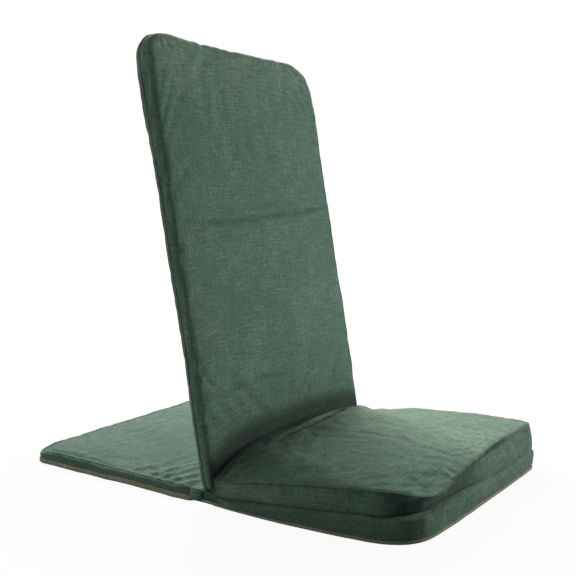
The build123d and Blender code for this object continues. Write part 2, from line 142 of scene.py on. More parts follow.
class BackrestSettings(bpy.types.PropertyGroup):
    """The backrest pad."""
    columns: IntProperty(name="Columns", description="Faces across the backrest before smoothing", default=72)
    rows: IntProperty(name="Rows", description="Faces along the backrest before smoothing", default=110)
    left_corner: FloatProperty(name="Left corner", description="Radius of the top left corner",
                               unit="LENGTH", default=0.055)
    right_corner: FloatProperty(name="Right corner", description="Radius of the top right corner",
                                unit="LENGTH", default=0.07)
    pressure: FloatProperty(name="Fill pressure", description="How hard the foam fills the cover",
                            default=2.0)
    swell: FloatProperty(name="Largest swell", description="How far the filling may move the cloth",
                         unit="LENGTH", default=0.004)


class RearSettings(bpy.types.PropertyGroup):
    """The rear panel."""
    columns: IntProperty(name="Columns", description="Faces across the panel before smoothing", default=76)
    rows: IntProperty(name="Rows", description="Faces along the panel before smoothing", default=60)
    corner: FloatProperty(name="Corners", description="Radius of the rear corners", unit="LENGTH",
                          default=0.034)
    hem: FloatProperty(name="Hem", description="Height of the bound lower edge", unit="LENGTH",
                       default=0.0085)
    pressure: FloatProperty(name="Fill pressure", description="How hard the frame fills the cover",
                            default=1.0)
    swell: FloatProperty(name="Largest swell", description="How far the filling may move the cloth",
                         unit="LENGTH", default=0.0025)


class StageSettings(bpy.types.PropertyGroup):
    """Camera, floor and lamps."""
    place: FloatVectorProperty(name="Camera place", description="Where the camera stands",
                               subtype="TRANSLATION", unit="LENGTH", default=(-1.268, -0.840, 0.490))
    yaw: FloatProperty(name="Yaw", description="Camera's turn from +Y towards +X, in degrees", default=56.56)
    pitch: FloatProperty(name="Pitch", description="Camera's tilt below the horizon, in degrees",
                         default=6.64)
    roll: FloatProperty(name="Roll", description="Camera's turn about its own axis, in degrees", default=0.21)
    lens: FloatProperty(name="Lens", description="Focal length in millimetres", default=55.54)


# Curves and grids of points


def ease(x, low, high):
    """0 below low, 1 above high, smooth between."""
    t = np.clip((np.asarray(x, float) - low) / (high - low), 0, 1)
    return t * t * (3 - 2 * t)


def steps(x, points):
    """A value read from a short list of (place, value)."""
    at, value = zip(*points)
    return np.interp(x, at, value)


def closed_curve(points, per_span=12):
    """A smooth closed curve through points, as a dense loop."""
    p = np.array(points, float)
    before, after, beyond = np.roll(p, 1, 0), np.roll(p, -1, 0), np.roll(p, -2, 0)
    t = np.linspace(0, 1, per_span, endpoint=False)[None, :, None]
    a, b, c, d = (q[:, None, :] for q in (before, p, after, beyond))
    square = (2 * a - 5 * b + 4 * c - d) * t ** 2
    cube = (3 * b - a - 3 * c + d) * t ** 3
    curve = 0.5 * (2 * b + (c - a) * t + square + cube)
    return curve.reshape(-1, 2)


def rounded_loop(half, low, high, radii):
    """A rectangle with rounded corners, counter-clockwise from the lower left, and its corners' middles."""
    signs = ((-1, low, 1, 180), (1, low, 1, 270), (1, high, -1, 0), (-1, high, -1, 90))
    loop, corners = [], []
    for (side, y, inward, start), radius in zip(signs, radii):
        centre = np.array([side * (half - radius), y + inward * radius])
        angles = np.radians(np.linspace(start, start + 90, 25))
        arc = centre + radius * np.stack([np.cos(angles), np.sin(angles)], 1)
        loop.append(arc)
        corners.append(arc[12])
    return np.concatenate(loop), corners


def lengths(line, closed=False):
    """How far along a line each of its points is. A closed line's whole length comes last."""
    gaps = np.diff(line, axis=0, append=line[:1]) if closed else np.diff(line, axis=0)
    return np.concatenate([[0], np.cumsum(np.linalg.norm(gaps, axis=1))])


def evenly(points, count):
    """count + 1 points spaced evenly along a line."""
    along = lengths(points)
    at = np.linspace(0, along[-1], count + 1)
    return np.stack([np.interp(at, along, points[:, i]) for i in range(points.shape[1])], 1)


def ring_of(loop, corners, columns, rows):
    """The loop as a ring: columns points per end and rows per side, from the lower left corner."""
    at = [int(np.argmin(np.linalg.norm(loop - np.array(c), axis=1))) for c in corners]
    turned = np.roll(loop, -at[0], 0)
    at = [(i - at[0]) % len(loop) for i in at] + [len(loop)]
    turned = np.concatenate([turned, turned[:1]])
    counts = (columns, rows, columns, rows)
    parts = [evenly(turned[at[k]:at[k + 1] + 1], count)[:-1] for k, count in enumerate(counts)]
    return np.concatenate(parts)


def outward(ring):
    """Unit normals of a counter-clockwise ring."""
    along = np.roll(ring, -1, 0) - np.roll(ring, 1, 0)
    along /= np.linalg.norm(along, axis=1)[:, None]
    return np.stack([along[:, 1], -along[:, 0]], 1)


def filled(ring, columns, rows):
    """A grid of points inside a ring, [row][column]."""
    low = ring[:columns + 1]
    right = ring[columns:columns + rows + 1]
    high = ring[columns + rows:2 * columns + rows + 1][::-1]
    left = np.concatenate([ring[2 * columns + rows:], ring[:1]])[::-1]
    u = np.linspace(0, 1, columns + 1)[None, :, None]
    v = np.linspace(0, 1, rows + 1)[:, None, None]
    ruled = (1 - v) * low[None] + v * high[None] + (1 - u) * left[:, None] + u * right[:, None]
    corners = (1 - v) * ((1 - u) * low[0] + u * low[-1]) + v * ((1 - u) * high[0] + u * high[-1])
    return ruled - corners


def grid_edge(columns, rows):
    """Indexes of a grid's edge vertices in the order of its ring."""
    wide = columns + 1
    low = list(range(columns))
    right = [j * wide + columns for j in range(rows)]
    high = [rows * wide + columns - i for i in range(columns)]
    left = [(rows - j) * wide for j in range(rows)]
    return low + right + high + left


# Meshes


def shown(name, vertices, faces, uvs=None):
    """A new object with a mesh, and a cloth map in metres where uvs are given."""
    mesh = bpy.data.meshes.new(name)
    mesh.from_pydata([tuple(p) for p in vertices], [], faces)
    if uvs is not None:
        layer = mesh.uv_layers.new(name="cloth")
        layer.data.foreach_set("uv", np.array([uv[:2] for face in uvs for uv in face], np.float32).ravel())
    mesh.update()
    piece = bpy.data.objects.new(name, mesh)
    bpy.context.scene.collection.objects.link(piece)
    return piece


def cover_mesh(name, front, levels, back, columns, rows):
    """A closed cover: a front grid, the levels of its band from front to back, and a back grid.
    Also gives the indexes of each ring of the band, the front grid's edge first."""
    wide, ring_size = columns + 1, 2 * (columns + rows)
    edge = grid_edge(columns, rows)
    back_start = wide * (rows + 1)
    band_start = 2 * back_start
    points = np.concatenate([front.reshape(-1, 3), back.reshape(-1, 3)] + list(levels))
    rings = [edge]
    rings += [[band_start + k * ring_size + p for p in range(ring_size)] for k in range(len(levels))]
    rings.append([back_start + e for e in edge])
    faces, uvs = [], []
    for j in range(rows):
        for i in range(columns):
            a = j * wide + i
            quad = (a, a + 1, a + 1 + wide, a + wide)
            under = tuple(back_start + k for k in reversed(quad))
            faces += [quad, under]
            uvs += [[points[k] for k in quad], [points[k] for k in under]]
    along = lengths(levels[0], closed=True)
    depth = 0.0
    for upper, lower in zip(rings, rings[1:]):
        drop = float(np.linalg.norm(points[upper[0]] - points[lower[0]]))
        for p in range(ring_size):
            q = (p + 1) % ring_size
            faces.append((upper[p], lower[p], lower[q], upper[q]))
            uvs.append([(along[p], -depth), (along[p], -depth - drop), (along[p + 1], -depth - drop),
                        (along[p + 1], -depth)])
        depth += drop
    return shown(name, points, faces, uvs), rings


def stand(piece):
    """Turns a piece drawn as (across, up the backrest, out of it) into the shared frame."""
    piece.data.transform(Matrix((ACROSS, UP, OUT)).transposed().to_4x4())


def sharpen(piece, ring, crease):
    """Makes the edges along a ring crease when the piece is smoothed."""
    pairs = {frozenset((a, b)) for a, b in zip(ring, ring[1:] + ring[:1])}
    attributes = piece.data.attributes
    layer = attributes.get("crease_edge") or attributes.new("crease_edge", "FLOAT", "EDGE")
    for edge in piece.data.edges:
        if frozenset(edge.vertices) in pairs:
            layer.data[edge.index].value = crease


def settle(piece):
    """Applies all of a piece's modifiers, and shades it smooth."""
    evaluated = piece.evaluated_get(bpy.context.evaluated_depsgraph_get())
    mesh = bpy.data.meshes.new_from_object(evaluated)
    piece.modifiers.clear()
    piece.data = mesh
    mesh.shade_smooth()


def smoothed(piece):
    """Subdivides a piece once. The vertices that it had keep their indexes."""
    modifier = piece.modifiers.new("smooth", "SUBSURF")
    modifier.levels = modifier.render_levels = 1
    settle(piece)


def places(piece):
    """A piece's vertices as an array."""
    co = np.empty(len(piece.data.vertices) * 3)
    piece.data.vertices.foreach_get("co", co)
    return co.reshape(-1, 3)


def normals(piece):
    """A piece's vertex normals as an array."""
    found = np.empty(len(piece.data.vertices) * 3)
    piece.data.vertex_normals.foreach_get("vector", found)
    return found.reshape(-1, 3)


def put(piece, co):
    """Moves a piece's vertices."""
    piece.data.vertices.foreach_set("co", co.ravel())
    piece.data.update()


def surface(piece):
    """A search tree of a piece's faces."""
    mesh = piece.data
    return BVHTree.FromPolygons([v.co for v in mesh.vertices], [tuple(p.vertices) for p in mesh.polygons])


def lay_on(tree, points, lift, closed=False):
    """A line through points, spaced evenly and laid a little above a surface."""
    line = np.array(points, float)
    if closed:
        line = np.concatenate([line, line[:1]])
    line = evenly(line, max(2, round(lengths(line)[-1] / LINE_STEP)))
    laid = []
    for p in line[:-1] if closed else line:
        place, normal, _face, _far = tree.find_nearest(Vector(p))
        laid.append(place + lift * normal)
    return laid


def pressed(co, folds):
    """How far each vertex goes out along its normal for a list of folds.
    A fold is (points, width, depth): a groove where depth is below 0, with a low ridge beside it."""
    out = np.zeros(len(co))
    runs, falloff = 24, 0.22
    ridge, ridge_at, ridge_width = 0.3, 2.2, 0.9
    for points, width, depth in folds:
        line = evenly(np.array(points, float), runs)
        margin = 4 * width
        close = np.flatnonzero(((co > line.min(0) - margin) & (co < line.max(0) + margin)).all(1))
        near = np.full(len(close), 1e9)
        at = np.zeros(len(close))
        for k in range(runs):
            start, span = line[k], line[k + 1] - line[k]
            t = np.clip((co[close] - start) @ span / (span @ span), 0, 1)
            far = np.linalg.norm(co[close] - start - t[:, None] * span, axis=1)
            closer = far < near
            near[closer] = far[closer]
            at[closer] = (k + t[closer]) / runs
        ends = ease(at, 0.0, falloff) * (1 - ease(at, 1 - falloff, 1.0))
        d = near / width
        out[close] += depth * ends * (np.exp(-d ** 2) - ridge * np.exp(-((d - ridge_at) / ridge_width) ** 2))
    return out


def rumple(co, size, seed, stretch=(1, 1, 1)):
    """Smooth noise from -1 to 1 at each vertex."""
    scale = Vector(stretch) / size
    shift = Vector((seed * 7.31, seed * 3.77, seed * 5.13))
    spots = (Vector((p[0] * scale.x, p[1] * scale.y, p[2] * scale.z)) + shift for p in co)
    return np.array([noise.noise(spot) for spot in spots])


def nearest(co, line):
    """For each vertex, the index of the nearest point of a line, and how far it is."""
    tree = KDTree(len(line))
    for k, p in enumerate(line):
        tree.insert(p, k)
    tree.balance()
    found = [tree.find(p)[1:] for p in co]
    return np.array([f[0] for f in found]), np.array([f[1] for f in found])


def pucker(co, seam, pitch, spread, seed):
    """Short gathers that run away from a seam, from -1 to 1."""
    along = lengths(seam, closed=True)[1:]
    wave = np.array([noise.noise(Vector((a / pitch, seed * 9.1, 0.0))) for a in along])
    at, far = nearest(co, seam)
    return wave[at] * np.exp(-far / spread)


def store_wear_and_painted_light(piece, wear_and_painted_light, painted_shade):
    """Stores at each vertex how worn the cloth is, with the painted light that makes it paler,
    and the painted shade that darkens it in folds and hollows.
    """
    count = len(piece.data.vertices)
    for name, amount in (("wear_and_painted_light", wear_and_painted_light), ("painted_shade", painted_shade)):
        layer = piece.data.attributes.new(name, "FLOAT", "POINT")
        everywhere = np.broadcast_to(np.asarray(amount, np.float32), count)
        layer.data.foreach_set("value", np.clip(everywhere, -1, 1))


def inflated(piece, held, pressure, swell):
    """Held vertices stay, the others are softly held, and none moves further than swell."""
    soft_hold, slack = 0.12, 0.007
    before = places(piece)
    group = piece.vertex_groups.new(name="held")
    group.add(list(range(len(before))), soft_hold, "REPLACE")
    group.add([int(k) for k in held], 1.0, "REPLACE")
    cloth = piece.modifiers.new("fill", "CLOTH")
    cloth.point_cache.frame_end = FILL_FRAMES
    how = cloth.settings
    how.quality = 4
    how.mass = 0.3
    how.use_pressure = True
    how.uniform_pressure_force = pressure
    how.vertex_group_mass = "held"
    how.effector_weights.gravity = 0.0
    how.tension_stiffness = how.compression_stiffness = 15.0
    how.bending_stiffness = 0.3
    how.shrink_min = -slack
    cloth.collision_settings.use_collision = False
    for frame_number in range(1, FILL_FRAMES + 1):
        bpy.context.scene.frame_set(frame_number)
    evaluated = piece.evaluated_get(bpy.context.evaluated_depsgraph_get())
    after = np.empty(len(before) * 3)
    evaluated.data.vertices.foreach_get("co", after)
    move = after.reshape(-1, 3) - before
    far = np.linalg.norm(move, axis=1)
    piece.modifiers.clear()
    piece.vertex_groups.clear()
    bpy.context.scene.frame_set(1)
    put(piece, before + move * (swell * np.tanh(far / swell) / np.maximum(far, 1e-9))[:, None])
    print("filled", piece.name, "moved up to", round(1000 * far.max(), 1), "mm")


def dark_along(co, lines, width):
    """1 on some lines of points, and 0 a few widths away."""
    points = np.concatenate([evenly(np.array(line, float), 60) for line in lines])
    return np.exp(-(nearest(co, points)[1] / width) ** 2)


def band_strip(name, rim, section):
    """A closed band on the floor: a small closed section, (outward, up), carried round a ring."""
    side = outward(rim[:, :2])
    count, size = len(rim), len(section)
    points = [(*(rim[p, :2] + u * side[p]), v) for p in range(count) for u, v in section]
    along = lengths(rim[:, :2], closed=True)
    around = lengths(np.array(section), closed=True)
    faces, uvs = [], []
    for p in range(count):
        q = (p + 1) % count
        for k in range(size):
            m = (k + 1) % size
            faces.append((p * size + k, p * size + m, q * size + m, q * size + k))
            uvs.append([(along[p], around[k]), (along[p], around[k + 1]), (along[p + 1], around[k + 1]),
                        (along[p + 1], around[k])])
    strip = shown(name, points, faces, uvs)
    strip.data.shade_smooth()
    return strip


# The covers' shapes


# The edge of the cushion's top cloth laid flat, (across, along the cloth), counter-clockwise
SEAT_FRONT_RIGHT = (
    (-0.162, -0.3515), (-0.125, -0.3555), (-0.060, -0.359), (0.020, -0.3625), (0.110, -0.366),
    (0.190, -0.3685), (0.2200, -0.3680), (0.2315, -0.3585), (0.2340, -0.335), (0.2340, -0.260),
    (0.2325, -0.130), (0.2315, -0.030))
SEAT_LEFT = (
    (-0.2325, -0.025), (-0.2350, -0.060), (-0.2360, -0.120), (-0.2345, -0.170), (-0.2315, -0.215),
    (-0.2270, -0.260), (-0.2205, -0.300), (-0.2060, -0.3285), (-0.187, -0.344))

# Height of the cushion's top at its left and right edges, by the distance in front of the backrest
LEFT_HEIGHT = ((0.0, 0.041), (0.035, 0.043), (0.051, 0.047), (0.095, 0.0555), (0.147, 0.063),
               (0.191, 0.067), (0.253, 0.0715), (0.306, 0.0735), (0.345, 0.072))
RIGHT_HEIGHT = ((0.0, 0.066), (0.022, 0.0625), (0.053, 0.0555), (0.09, 0.061), (0.128, 0.070),
                (0.247, 0.0785), (0.331, 0.0805), (0.368, 0.0795))

# Across the front: how far the top sinks, how far its seam is set back, and how deep the band's fold is
FRONT_SINK = ((-0.21, 0.004), (-0.185, 0.0105), (-0.158, 0.0160), (-0.140, 0.0155), (-0.105, 0.0125),
              (-0.060, 0.0080), (-0.0175, 0.0038), (0.05, 0.0025), (0.14, 0.0022), (0.21, 0.001))
FRONT_SET_BACK = ((-0.1, 0.0), (-0.012, 0.003), (0.046, 0.011), (0.097, 0.013), (0.15, 0.010),
                  (0.22, 0.009))
FRONT_FOLD_DEPTH = ((-0.2, 0.0085), (-0.06, 0.0075), (0.05, 0.0062), (0.14, 0.0050), (0.21, 0.0030))

# Height of the fold as a share of the side band's: across the front, along the left, and on the right
FRONT_FOLD_HEIGHT = ((-0.2, 0.54), (-0.16, 0.59), (-0.127, 0.60), (-0.065, 0.53), (-0.01, 0.45),
                     (0.05, 0.39), (0.10, 0.385), (0.15, 0.41))
LEFT_FOLD_HEIGHT = ((0.06, 0.36), (0.115, 0.36), (0.165, 0.40), (0.215, 0.42), (0.26, 0.46),
                    (0.30, 0.46), (0.34, 0.50))
RIGHT_FOLD_HEIGHT = 0.45

# Levels of the band above the fold: the share of the way down to it, and the shares of the fold's depth
# and of the seam's set-back. Levels below it: the share of the way to the floor, and of the fold's depth.
ABOVE_FOLD = ((0.05, -0.40, 0.70), (0.16, -0.62, 0.40), (0.45, -0.85, 0.12), (0.75, -1.0, 0.0),
              (0.95, -1.15, 0.0), (1.0, -1.30, 0.0))
BELOW_FOLD = ((0.012, -0.95), (0.05, -0.15), (0.11, 0.22), (0.28, 0.32), (0.60, 0.20), (0.92, -0.04),
              (0.99, -0.18))
FOLD_RING = len(ABOVE_FOLD)
HEM_RING = len(ABOVE_FOLD) + len(BELOW_FOLD) - 1
HELD_RINGS = (0, 1, FOLD_RING - 1, FOLD_RING, FOLD_RING + 1, FOLD_RING + 2)
BAND_BULGE = 0.0015  # of the side band where it has no fold
FOOT_INSET = 0.004  # of the cover's underside, from its band's foot

# The cushion's wall in front of the backrest, and the thin tongue that runs on under it
TONGUE = REAR_TOP
LEAN = sin(RECLINE) / cos(RECLINE)
WALL_GAP = 0.0006
WALL_FOOT = TONGUE * LEAN - (BACK_THICK + WALL_GAP) / cos(RECLINE)
CLOTH_END = SEAT_REAR + (CUSHION_TOP - TONGUE) / cos(RECLINE)
SHOULDER = 0.0042  # how far the wall's two ends stand back


def seat_top(x, y):
    """Height of the cushion's top."""
    share = np.clip(x / HALF, -1.05, 1.05)
    crown = CUSHION_TOP + 0.001 - 0.004 * ease(y, -0.075, -0.015)
    left = (crown - steps(-y, LEFT_HEIGHT)) * np.abs(share) ** 4.6
    right = (crown - steps(-y, RIGHT_HEIGHT)) * np.abs(share) ** 2.8
    front = steps(x, FRONT_SINK) * ease(-y, 0.262, 0.362) ** 1.7
    return crown - np.where(share < 0, left, right) - front


def seat_ring(columns, rows):
    """The edge of the cushion's top cloth laid flat, with the tongue's end, as a ring."""
    end = CLOTH_END
    tongue_edge = ((0.2305, 0.030), (0.2295, end - 0.006), (0.224, end), (0.1, end), (0.0, end),
                   (-0.1, end), (-0.224, end), (-0.2295, end - 0.006), (-0.2305, 0.020))
    corners = ((-0.196, -0.337), (0.2270, -0.3625), (0.2285, end - 0.003), (-0.2285, end - 0.003))
    outline = closed_curve((*SEAT_FRONT_RIGHT, *tongue_edge, *SEAT_LEFT))
    return ring_of(outline, corners, columns, rows)


def seat_profile(x, along):
    """From a place on the flat cloth to its place on the cushion: top, wall or tongue."""
    top = seat_top(x, np.minimum(along, -0.02))
    y_top = WALL_FOOT + (top - TONGUE) * LEAN
    wall = (top - TONGUE) / cos(RECLINE)
    past = along - y_top
    on_tongue = WALL_FOOT + past - wall
    y = np.where(past < 0, along, np.where(past < wall, y_top - past * sin(RECLINE), on_tongue))
    z = np.where(past < 0, seat_top(x, along), np.where(past < wall, top - past * cos(RECLINE), TONGUE))
    shoulder = ease(np.abs(x), 0.212, 0.229) * ease(z, TONGUE + 0.002, TONGUE + 0.010)
    return y + SHOULDER * (shoulder * ease(along, -0.05, -0.026)), z


def seat_cloth(points):
    """The rounded profile: the mean of a few places along the cloth."""
    x, along = points[..., 0], points[..., 1]
    taps = [seat_profile(x, along + step) for step in (-0.007, -0.0035, 0, 0.0035, 0.007)]
    return np.stack([x, sum(t[0] for t in taps) / 5, sum(t[1] for t in taps) / 5], -1)


def seat_band(x, y, along, plan):
    """The levels of the side band, as (share of the way down, how far out), and the seam's set-back.
    Takes the edge's places on the cushion, along the cloth, and its outward directions on the flat."""
    front = ease(-plan[:, 1], 0.3, 0.9)
    left = ease(-plan[:, 0], 0.2, 0.7)
    right = ease(plan[:, 0], 0.2, 0.7)
    rear_part = ease(along, -0.075, -0.02)
    set_back = np.maximum(front * steps(x, FRONT_SET_BACK), right * 0.006 * (1 - rear_part))
    bend = ease(x, -0.212, -0.195) * (1 - ease(x, -0.150, -0.08)) * ease(-y, 0.29, 0.33)
    set_back = set_back - 0.0085 * bend
    height = (1 - front) * np.where(x < 0, steps(-y, LEFT_FOLD_HEIGHT), RIGHT_FOLD_HEIGHT)
    height += front * steps(x, FRONT_FOLD_HEIGHT)
    fold_at = 1 - height
    depth = 0.0065 * left * (1 - 0.8 * rear_part) + 0.0015 * right * (1 - rear_part)
    depth = (1 - front) * depth + front * steps(x, FRONT_FOLD_DEPTH)
    bulge = BAND_BULGE * ((1 - left) * (1 - rear_part))
    levels = []
    for share, hollow, back in ABOVE_FOLD:
        levels.append((share * fold_at, hollow * depth - back * set_back + bulge * share))
    for share, hollow in BELOW_FOLD:
        levels.append((fold_at + share * (1 - fold_at), hollow * depth + bulge * (1 - share)))
    return levels, set_back


def seat_mesh(settings):
    """The cushion's cover as a closed cage, with the tongue that runs under the backrest."""
    columns, rows = settings.columns, settings.rows
    ring = seat_ring(columns, rows)
    plan, edge = outward(ring), seat_cloth(ring)
    turned = ease(ring[:, 1], -0.070, -0.032)[:, None]
    side = plan * turned + outward(edge[:, :2]) * (1 - turned)
    side /= np.linalg.norm(side, axis=1)[:, None]
    x, y, height = edge.T
    levels, set_back = seat_band(x, y, ring[:, 1], plan)
    bands = []
    for down, out in levels:
        bands.append(np.stack([x + side[:, 0] * out, y + side[:, 1] * out, height * (1 - down)], 1))
    top = seat_cloth(filled(ring - plan * set_back[:, None], columns, rows))
    bottom = filled(edge[:, :2] - side * FOOT_INSET, columns, rows)
    bottom = np.concatenate([bottom, 0 * bottom[..., :1] + FLOOR_GAP], -1)
    return cover_mesh("seat_canvas", top, bands, bottom, columns, rows)


def seat_groove():
    """The crease between the cushion's crown and its tongue."""
    line = ((-0.120, -0.058), (-0.035, -0.057), (0.020, -0.054), (0.085, -0.046), (0.150, -0.034),
            (0.222, -0.022))
    return evenly(np.array([(x, y, float(seat_top(x, y))) for x, y in line]), 60)


def seat_folds():
    """Creases of the cushion's cover: (points, width, depth)."""
    def top(*points):
        return [(x / 1000, y / 1000, float(seat_top(x / 1000, y / 1000))) for x, y in points]

    def left(*points):
        return [(-0.232, y / 1000, z / 1000) for y, z in points]

    def front(*points):
        return [(x / 1000, -0.36, z / 1000) for x, z in points]

    return [
        (seat_groove(), 0.0045, -0.0065),
        (top((-60, -40), (20, -38), (90, -32), (170, -26)), 0.008, 0.0018),
        (top((-226, -28), (-205, -42), (-185, -62), (-160, -75)), 0.005, -0.0028),
        (top((-222, -55), (-200, -75), (-170, -95)), 0.006, -0.0016),
        (top((215, -60), (180, -75), (140, -82)), 0.009, -0.0022),
        (top((-160, -317), (-128, -312), (-100, -317), (-92, -334)), 0.0055, 0.0016),
        (top((-150, -330), (-125, -325), (-108, -333)), 0.004, -0.0014),
        (top((-206, -326), (-186, -331), (-168, -337), (-156, -348)), 0.005, 0.0018),
        (top((-196, -315), (-178, -321), (-150, -345)), 0.0045, -0.0016),
        (top((-91, -335), (-96, -346), (-104, -356)), 0.0035, 0.0014),
        (top((-78, -330), (-82, -345), (-90, -356)), 0.0035, -0.0014),
        (top((-30, -322), (-5, -331), (14, -343)), 0.0045, 0.0012),
        (top((-70, -290), (-50, -307), (-34, -326)), 0.006, 0.0012),
        (top((-20, -318), (12, -330), (40, -345)), 0.0045, -0.0010),
        (top((-215, -250), (-190, -275), (-165, -300)), 0.007, -0.0013),
        (top((-218, -180), (-190, -215), (-150, -240)), 0.009, -0.0012),
        (left((-305, 50), (-285, 34), (-268, 20)), 0.006, -0.0038),
        (left((-325, 52), (-318, 34), (-312, 16)), 0.006, 0.0036),
        (front((-206, 56), (-204, 36), (-200, 18)), 0.0065, 0.0048),
        (front((-188, 50), (-184, 34), (-176, 20)), 0.0045, -0.0036),
        (front((-172, 44), (-168, 28), (-160, 14)), 0.004, 0.0018),
        (front((-214, 22), (-190, 16), (-160, 14)), 0.0035, -0.0020),
        (front((-190, 12), (-150, 12), (-80, 10), (0, 9), (110, 9)), 0.0026, -0.0020),
        (front((-60, 64), (0, 60), (60, 56)), 0.007, -0.0010),
        (front((205, 66), (207, 45), (209, 22)), 0.006, -0.0012),
    ]


def slab(name, ring, section, front_of, back_of, columns, rows, roll=1.0):
    """A closed padded slab. Its section lists (outward, share of the thickness) from the front grid's
    edge to the back grid's. The roll says how much of the outward steps each point of the ring takes."""
    side = outward(ring) * np.reshape(roll, (-1, 1))

    def at(shift):
        return ring + side * shift

    first, last = at(section[0][0]), at(section[-1][0])
    front, back = filled(first, columns, rows), filled(last, columns, rows)
    front = np.concatenate([front, front_of(front)[..., None]], -1)
    back = np.concatenate([back, back_of(back)[..., None]], -1)
    front_edge, back_edge = front_of(first), back_of(last)
    levels = []
    for shift, share in section[1:-1]:
        rim = at(shift)
        levels.append(np.stack([rim[:, 0], rim[:, 1], back_edge + share * (front_edge - back_edge)], 1))
    return cover_mesh(name, front, levels, back, columns, rows)


def backrest_front(points):
    """How far the backrest's front stands out."""
    x, up = points[..., 0], points[..., 1]
    puff = 0.0015 * (1 - np.abs(x / HALF) ** 4) + 0.0015 * ease(up, 0.5, 0.68) * (1 - ease(up, 0.69, 0.725))
    return BACK_THICK + puff * ease(up, 0.12, 0.2)


def backrest_back(points):
    """How far the backrest's back stands out: it bulges near the top."""
    x, up = points[..., 0], points[..., 1]
    bulge = ease(up, 0.48, 0.64) * (1 - 0.55 * ease(up, 0.66, 0.725))
    return -0.0085 * bulge * (1 - 0.35 * np.abs(x / HALF) ** 3)


BACK_SEAM_RING = 7
BACKREST_SECTION = (
    (-0.0145, 1), (-0.0090, 0.975), (-0.0045, 0.91), (-0.0014, 0.79), (0.0, 0.62), (-0.0002, 0.48),
    (-0.0006, 0.40), (0.0005, 0.335), (-0.0003, 0.27), (-0.0014, 0.15), (-0.004, 0.04), (-0.0075, 0))

# How far the canvas rises above the plain cover's top edge, across the chair
TOP_RISE = ((-0.235, 0.012), (-0.19, 0.0115), (-0.1, 0.006), (0.0, 0.003), (0.1, 0.002), (0.235, 0.0015))

# Darkness and width of the painted shade along some creases, and their places in backrest_folds
PAINTED_CREASE_SHADE = ((0.42, 0.0035, (0,)), (0.30, 0.0045, (4,)), (0.35, 0.0030, (21, 23)))


def backrest_ring(settings):
    """The backrest's outline as a ring: wider at its foot and on its right, and higher on its left."""
    radii = (0.004, 0.004, settings.right_corner, settings.left_corner)
    loop, corners = rounded_loop(HALF, BACK_LOW, BACK_TOP, radii)
    ring = ring_of(loop, corners, settings.columns, settings.rows)
    side = outward(ring)
    wider = 0.0054 * ease(side[:, 0], 0.3, 0.9) * ease(ring[:, 1], 0.08, 0.2)
    wider += 0.0012 * ease(-side[:, 0], 0.3, 0.9) * ease(ring[:, 1], 0.12, 0.3)
    wider += 0.0040 * ease(np.abs(side[:, 0]), 0.3, 0.9) * (1 - ease(ring[:, 1], 0.10, 0.22))
    taller = ease(side[:, 1], 0.1, 0.9) * steps(ring[:, 0], TOP_RISE)
    return ring + side * (wider + taller)[:, None]


def backrest_folds():
    """Creases of the backrest's cover: (points, width, depth)."""
    def front(*points):
        return [ACROSS * x / 1000 + UP * s / 1000 + OUT * BACK_THICK for x, s in points]

    def edge(*points):
        return [ACROSS * x / 1000 + UP * s / 1000 + OUT * out / 1000 for x, s, out in points]

    return [
        (front((-215, 438), (-175, 432), (-130, 433), (-85, 432), (-14, 437), (60, 440), (110, 443),
               (218, 448)), 0.0050, -0.0055),
        (front((-200, 420), (-90, 417), (60, 426), (200, 434)), 0.014, 0.0014),
        (front((-205, 466), (-130, 463), (-8, 460), (150, 459)), 0.010, -0.0010),
        (front((-235, 404), (-200, 402), (-165, 400)), 0.006, -0.0008),
        (front((-215, 160), (-177, 160), (-145, 161), (-110, 164), (-70, 168), (0, 160)), 0.0065, -0.0020),
        (front((-120, 150), (-40, 148), (60, 142), (150, 138)), 0.016, 0.0016),
        (front((-60, 178), (20, 172), (110, 166)), 0.012, -0.0009),
        (front((-238, 190), (-222, 205), (-205, 214)), 0.005, -0.0012),
        (front((-226, 176), (-205, 186), (-188, 192)), 0.005, -0.0010),
        (front((-228, 120), (-200, 130), (-160, 132)), 0.006, -0.0012),
        (front((-198, 724), (-195, 712), (-192, 700)), 0.0032, 0.0022),
        (front((-186, 724), (-184, 712), (-180, 700)), 0.0035, -0.0018),
        (front((-158, 722), (-148, 713), (-142, 704)), 0.0035, 0.0020),
        (front((-168, 722), (-158, 712), (-154, 702)), 0.0035, -0.0014),
        (front((-118, 716), (-82, 711), (-42, 709), (0, 706)), 0.005, 0.0018),
        (front((-120, 700), (-60, 697), (0, 695)), 0.007, -0.0012),
        (front((50, 714), (62, 707), (80, 698)), 0.0040, -0.0030),
        (front((70, 716), (84, 708), (100, 700)), 0.0045, 0.0018),
        (front((158, 712), (172, 700), (182, 690)), 0.0045, -0.0024),
        (front((176, 714), (192, 702), (206, 690)), 0.0050, 0.0024),
        (front((200, 700), (206, 684), (208, 668)), 0.0045, -0.0016),
        (front((-190, 631), (-168, 630), (-146, 628)), 0.0045, -0.0014),
        (front((-206, 606), (-180, 600), (-150, 598)), 0.006, -0.0008),
        (front((-44, 560), (-14, 559), (16, 557)), 0.0040, -0.0009),
        (front((-50, 549), (-20, 548), (10, 547)), 0.0040, -0.0007),
        (front((-216, 545), (-198, 520), (-190, 495)), 0.006, -0.0009),
        (front((215, 640), (200, 600), (206, 560)), 0.009, -0.0010),
        (edge((-230, 690, 14), (-230, 650, 12), (-230, 600, 14)), 0.006, -0.0016),
        (edge((-230, 520, 20), (-230, 470, 14), (-230, 430, 12)), 0.005, -0.0012),
        (edge((-230, 330, 20), (-230, 290, 14), (-230, 250, 12)), 0.005, -0.0010),
    ]


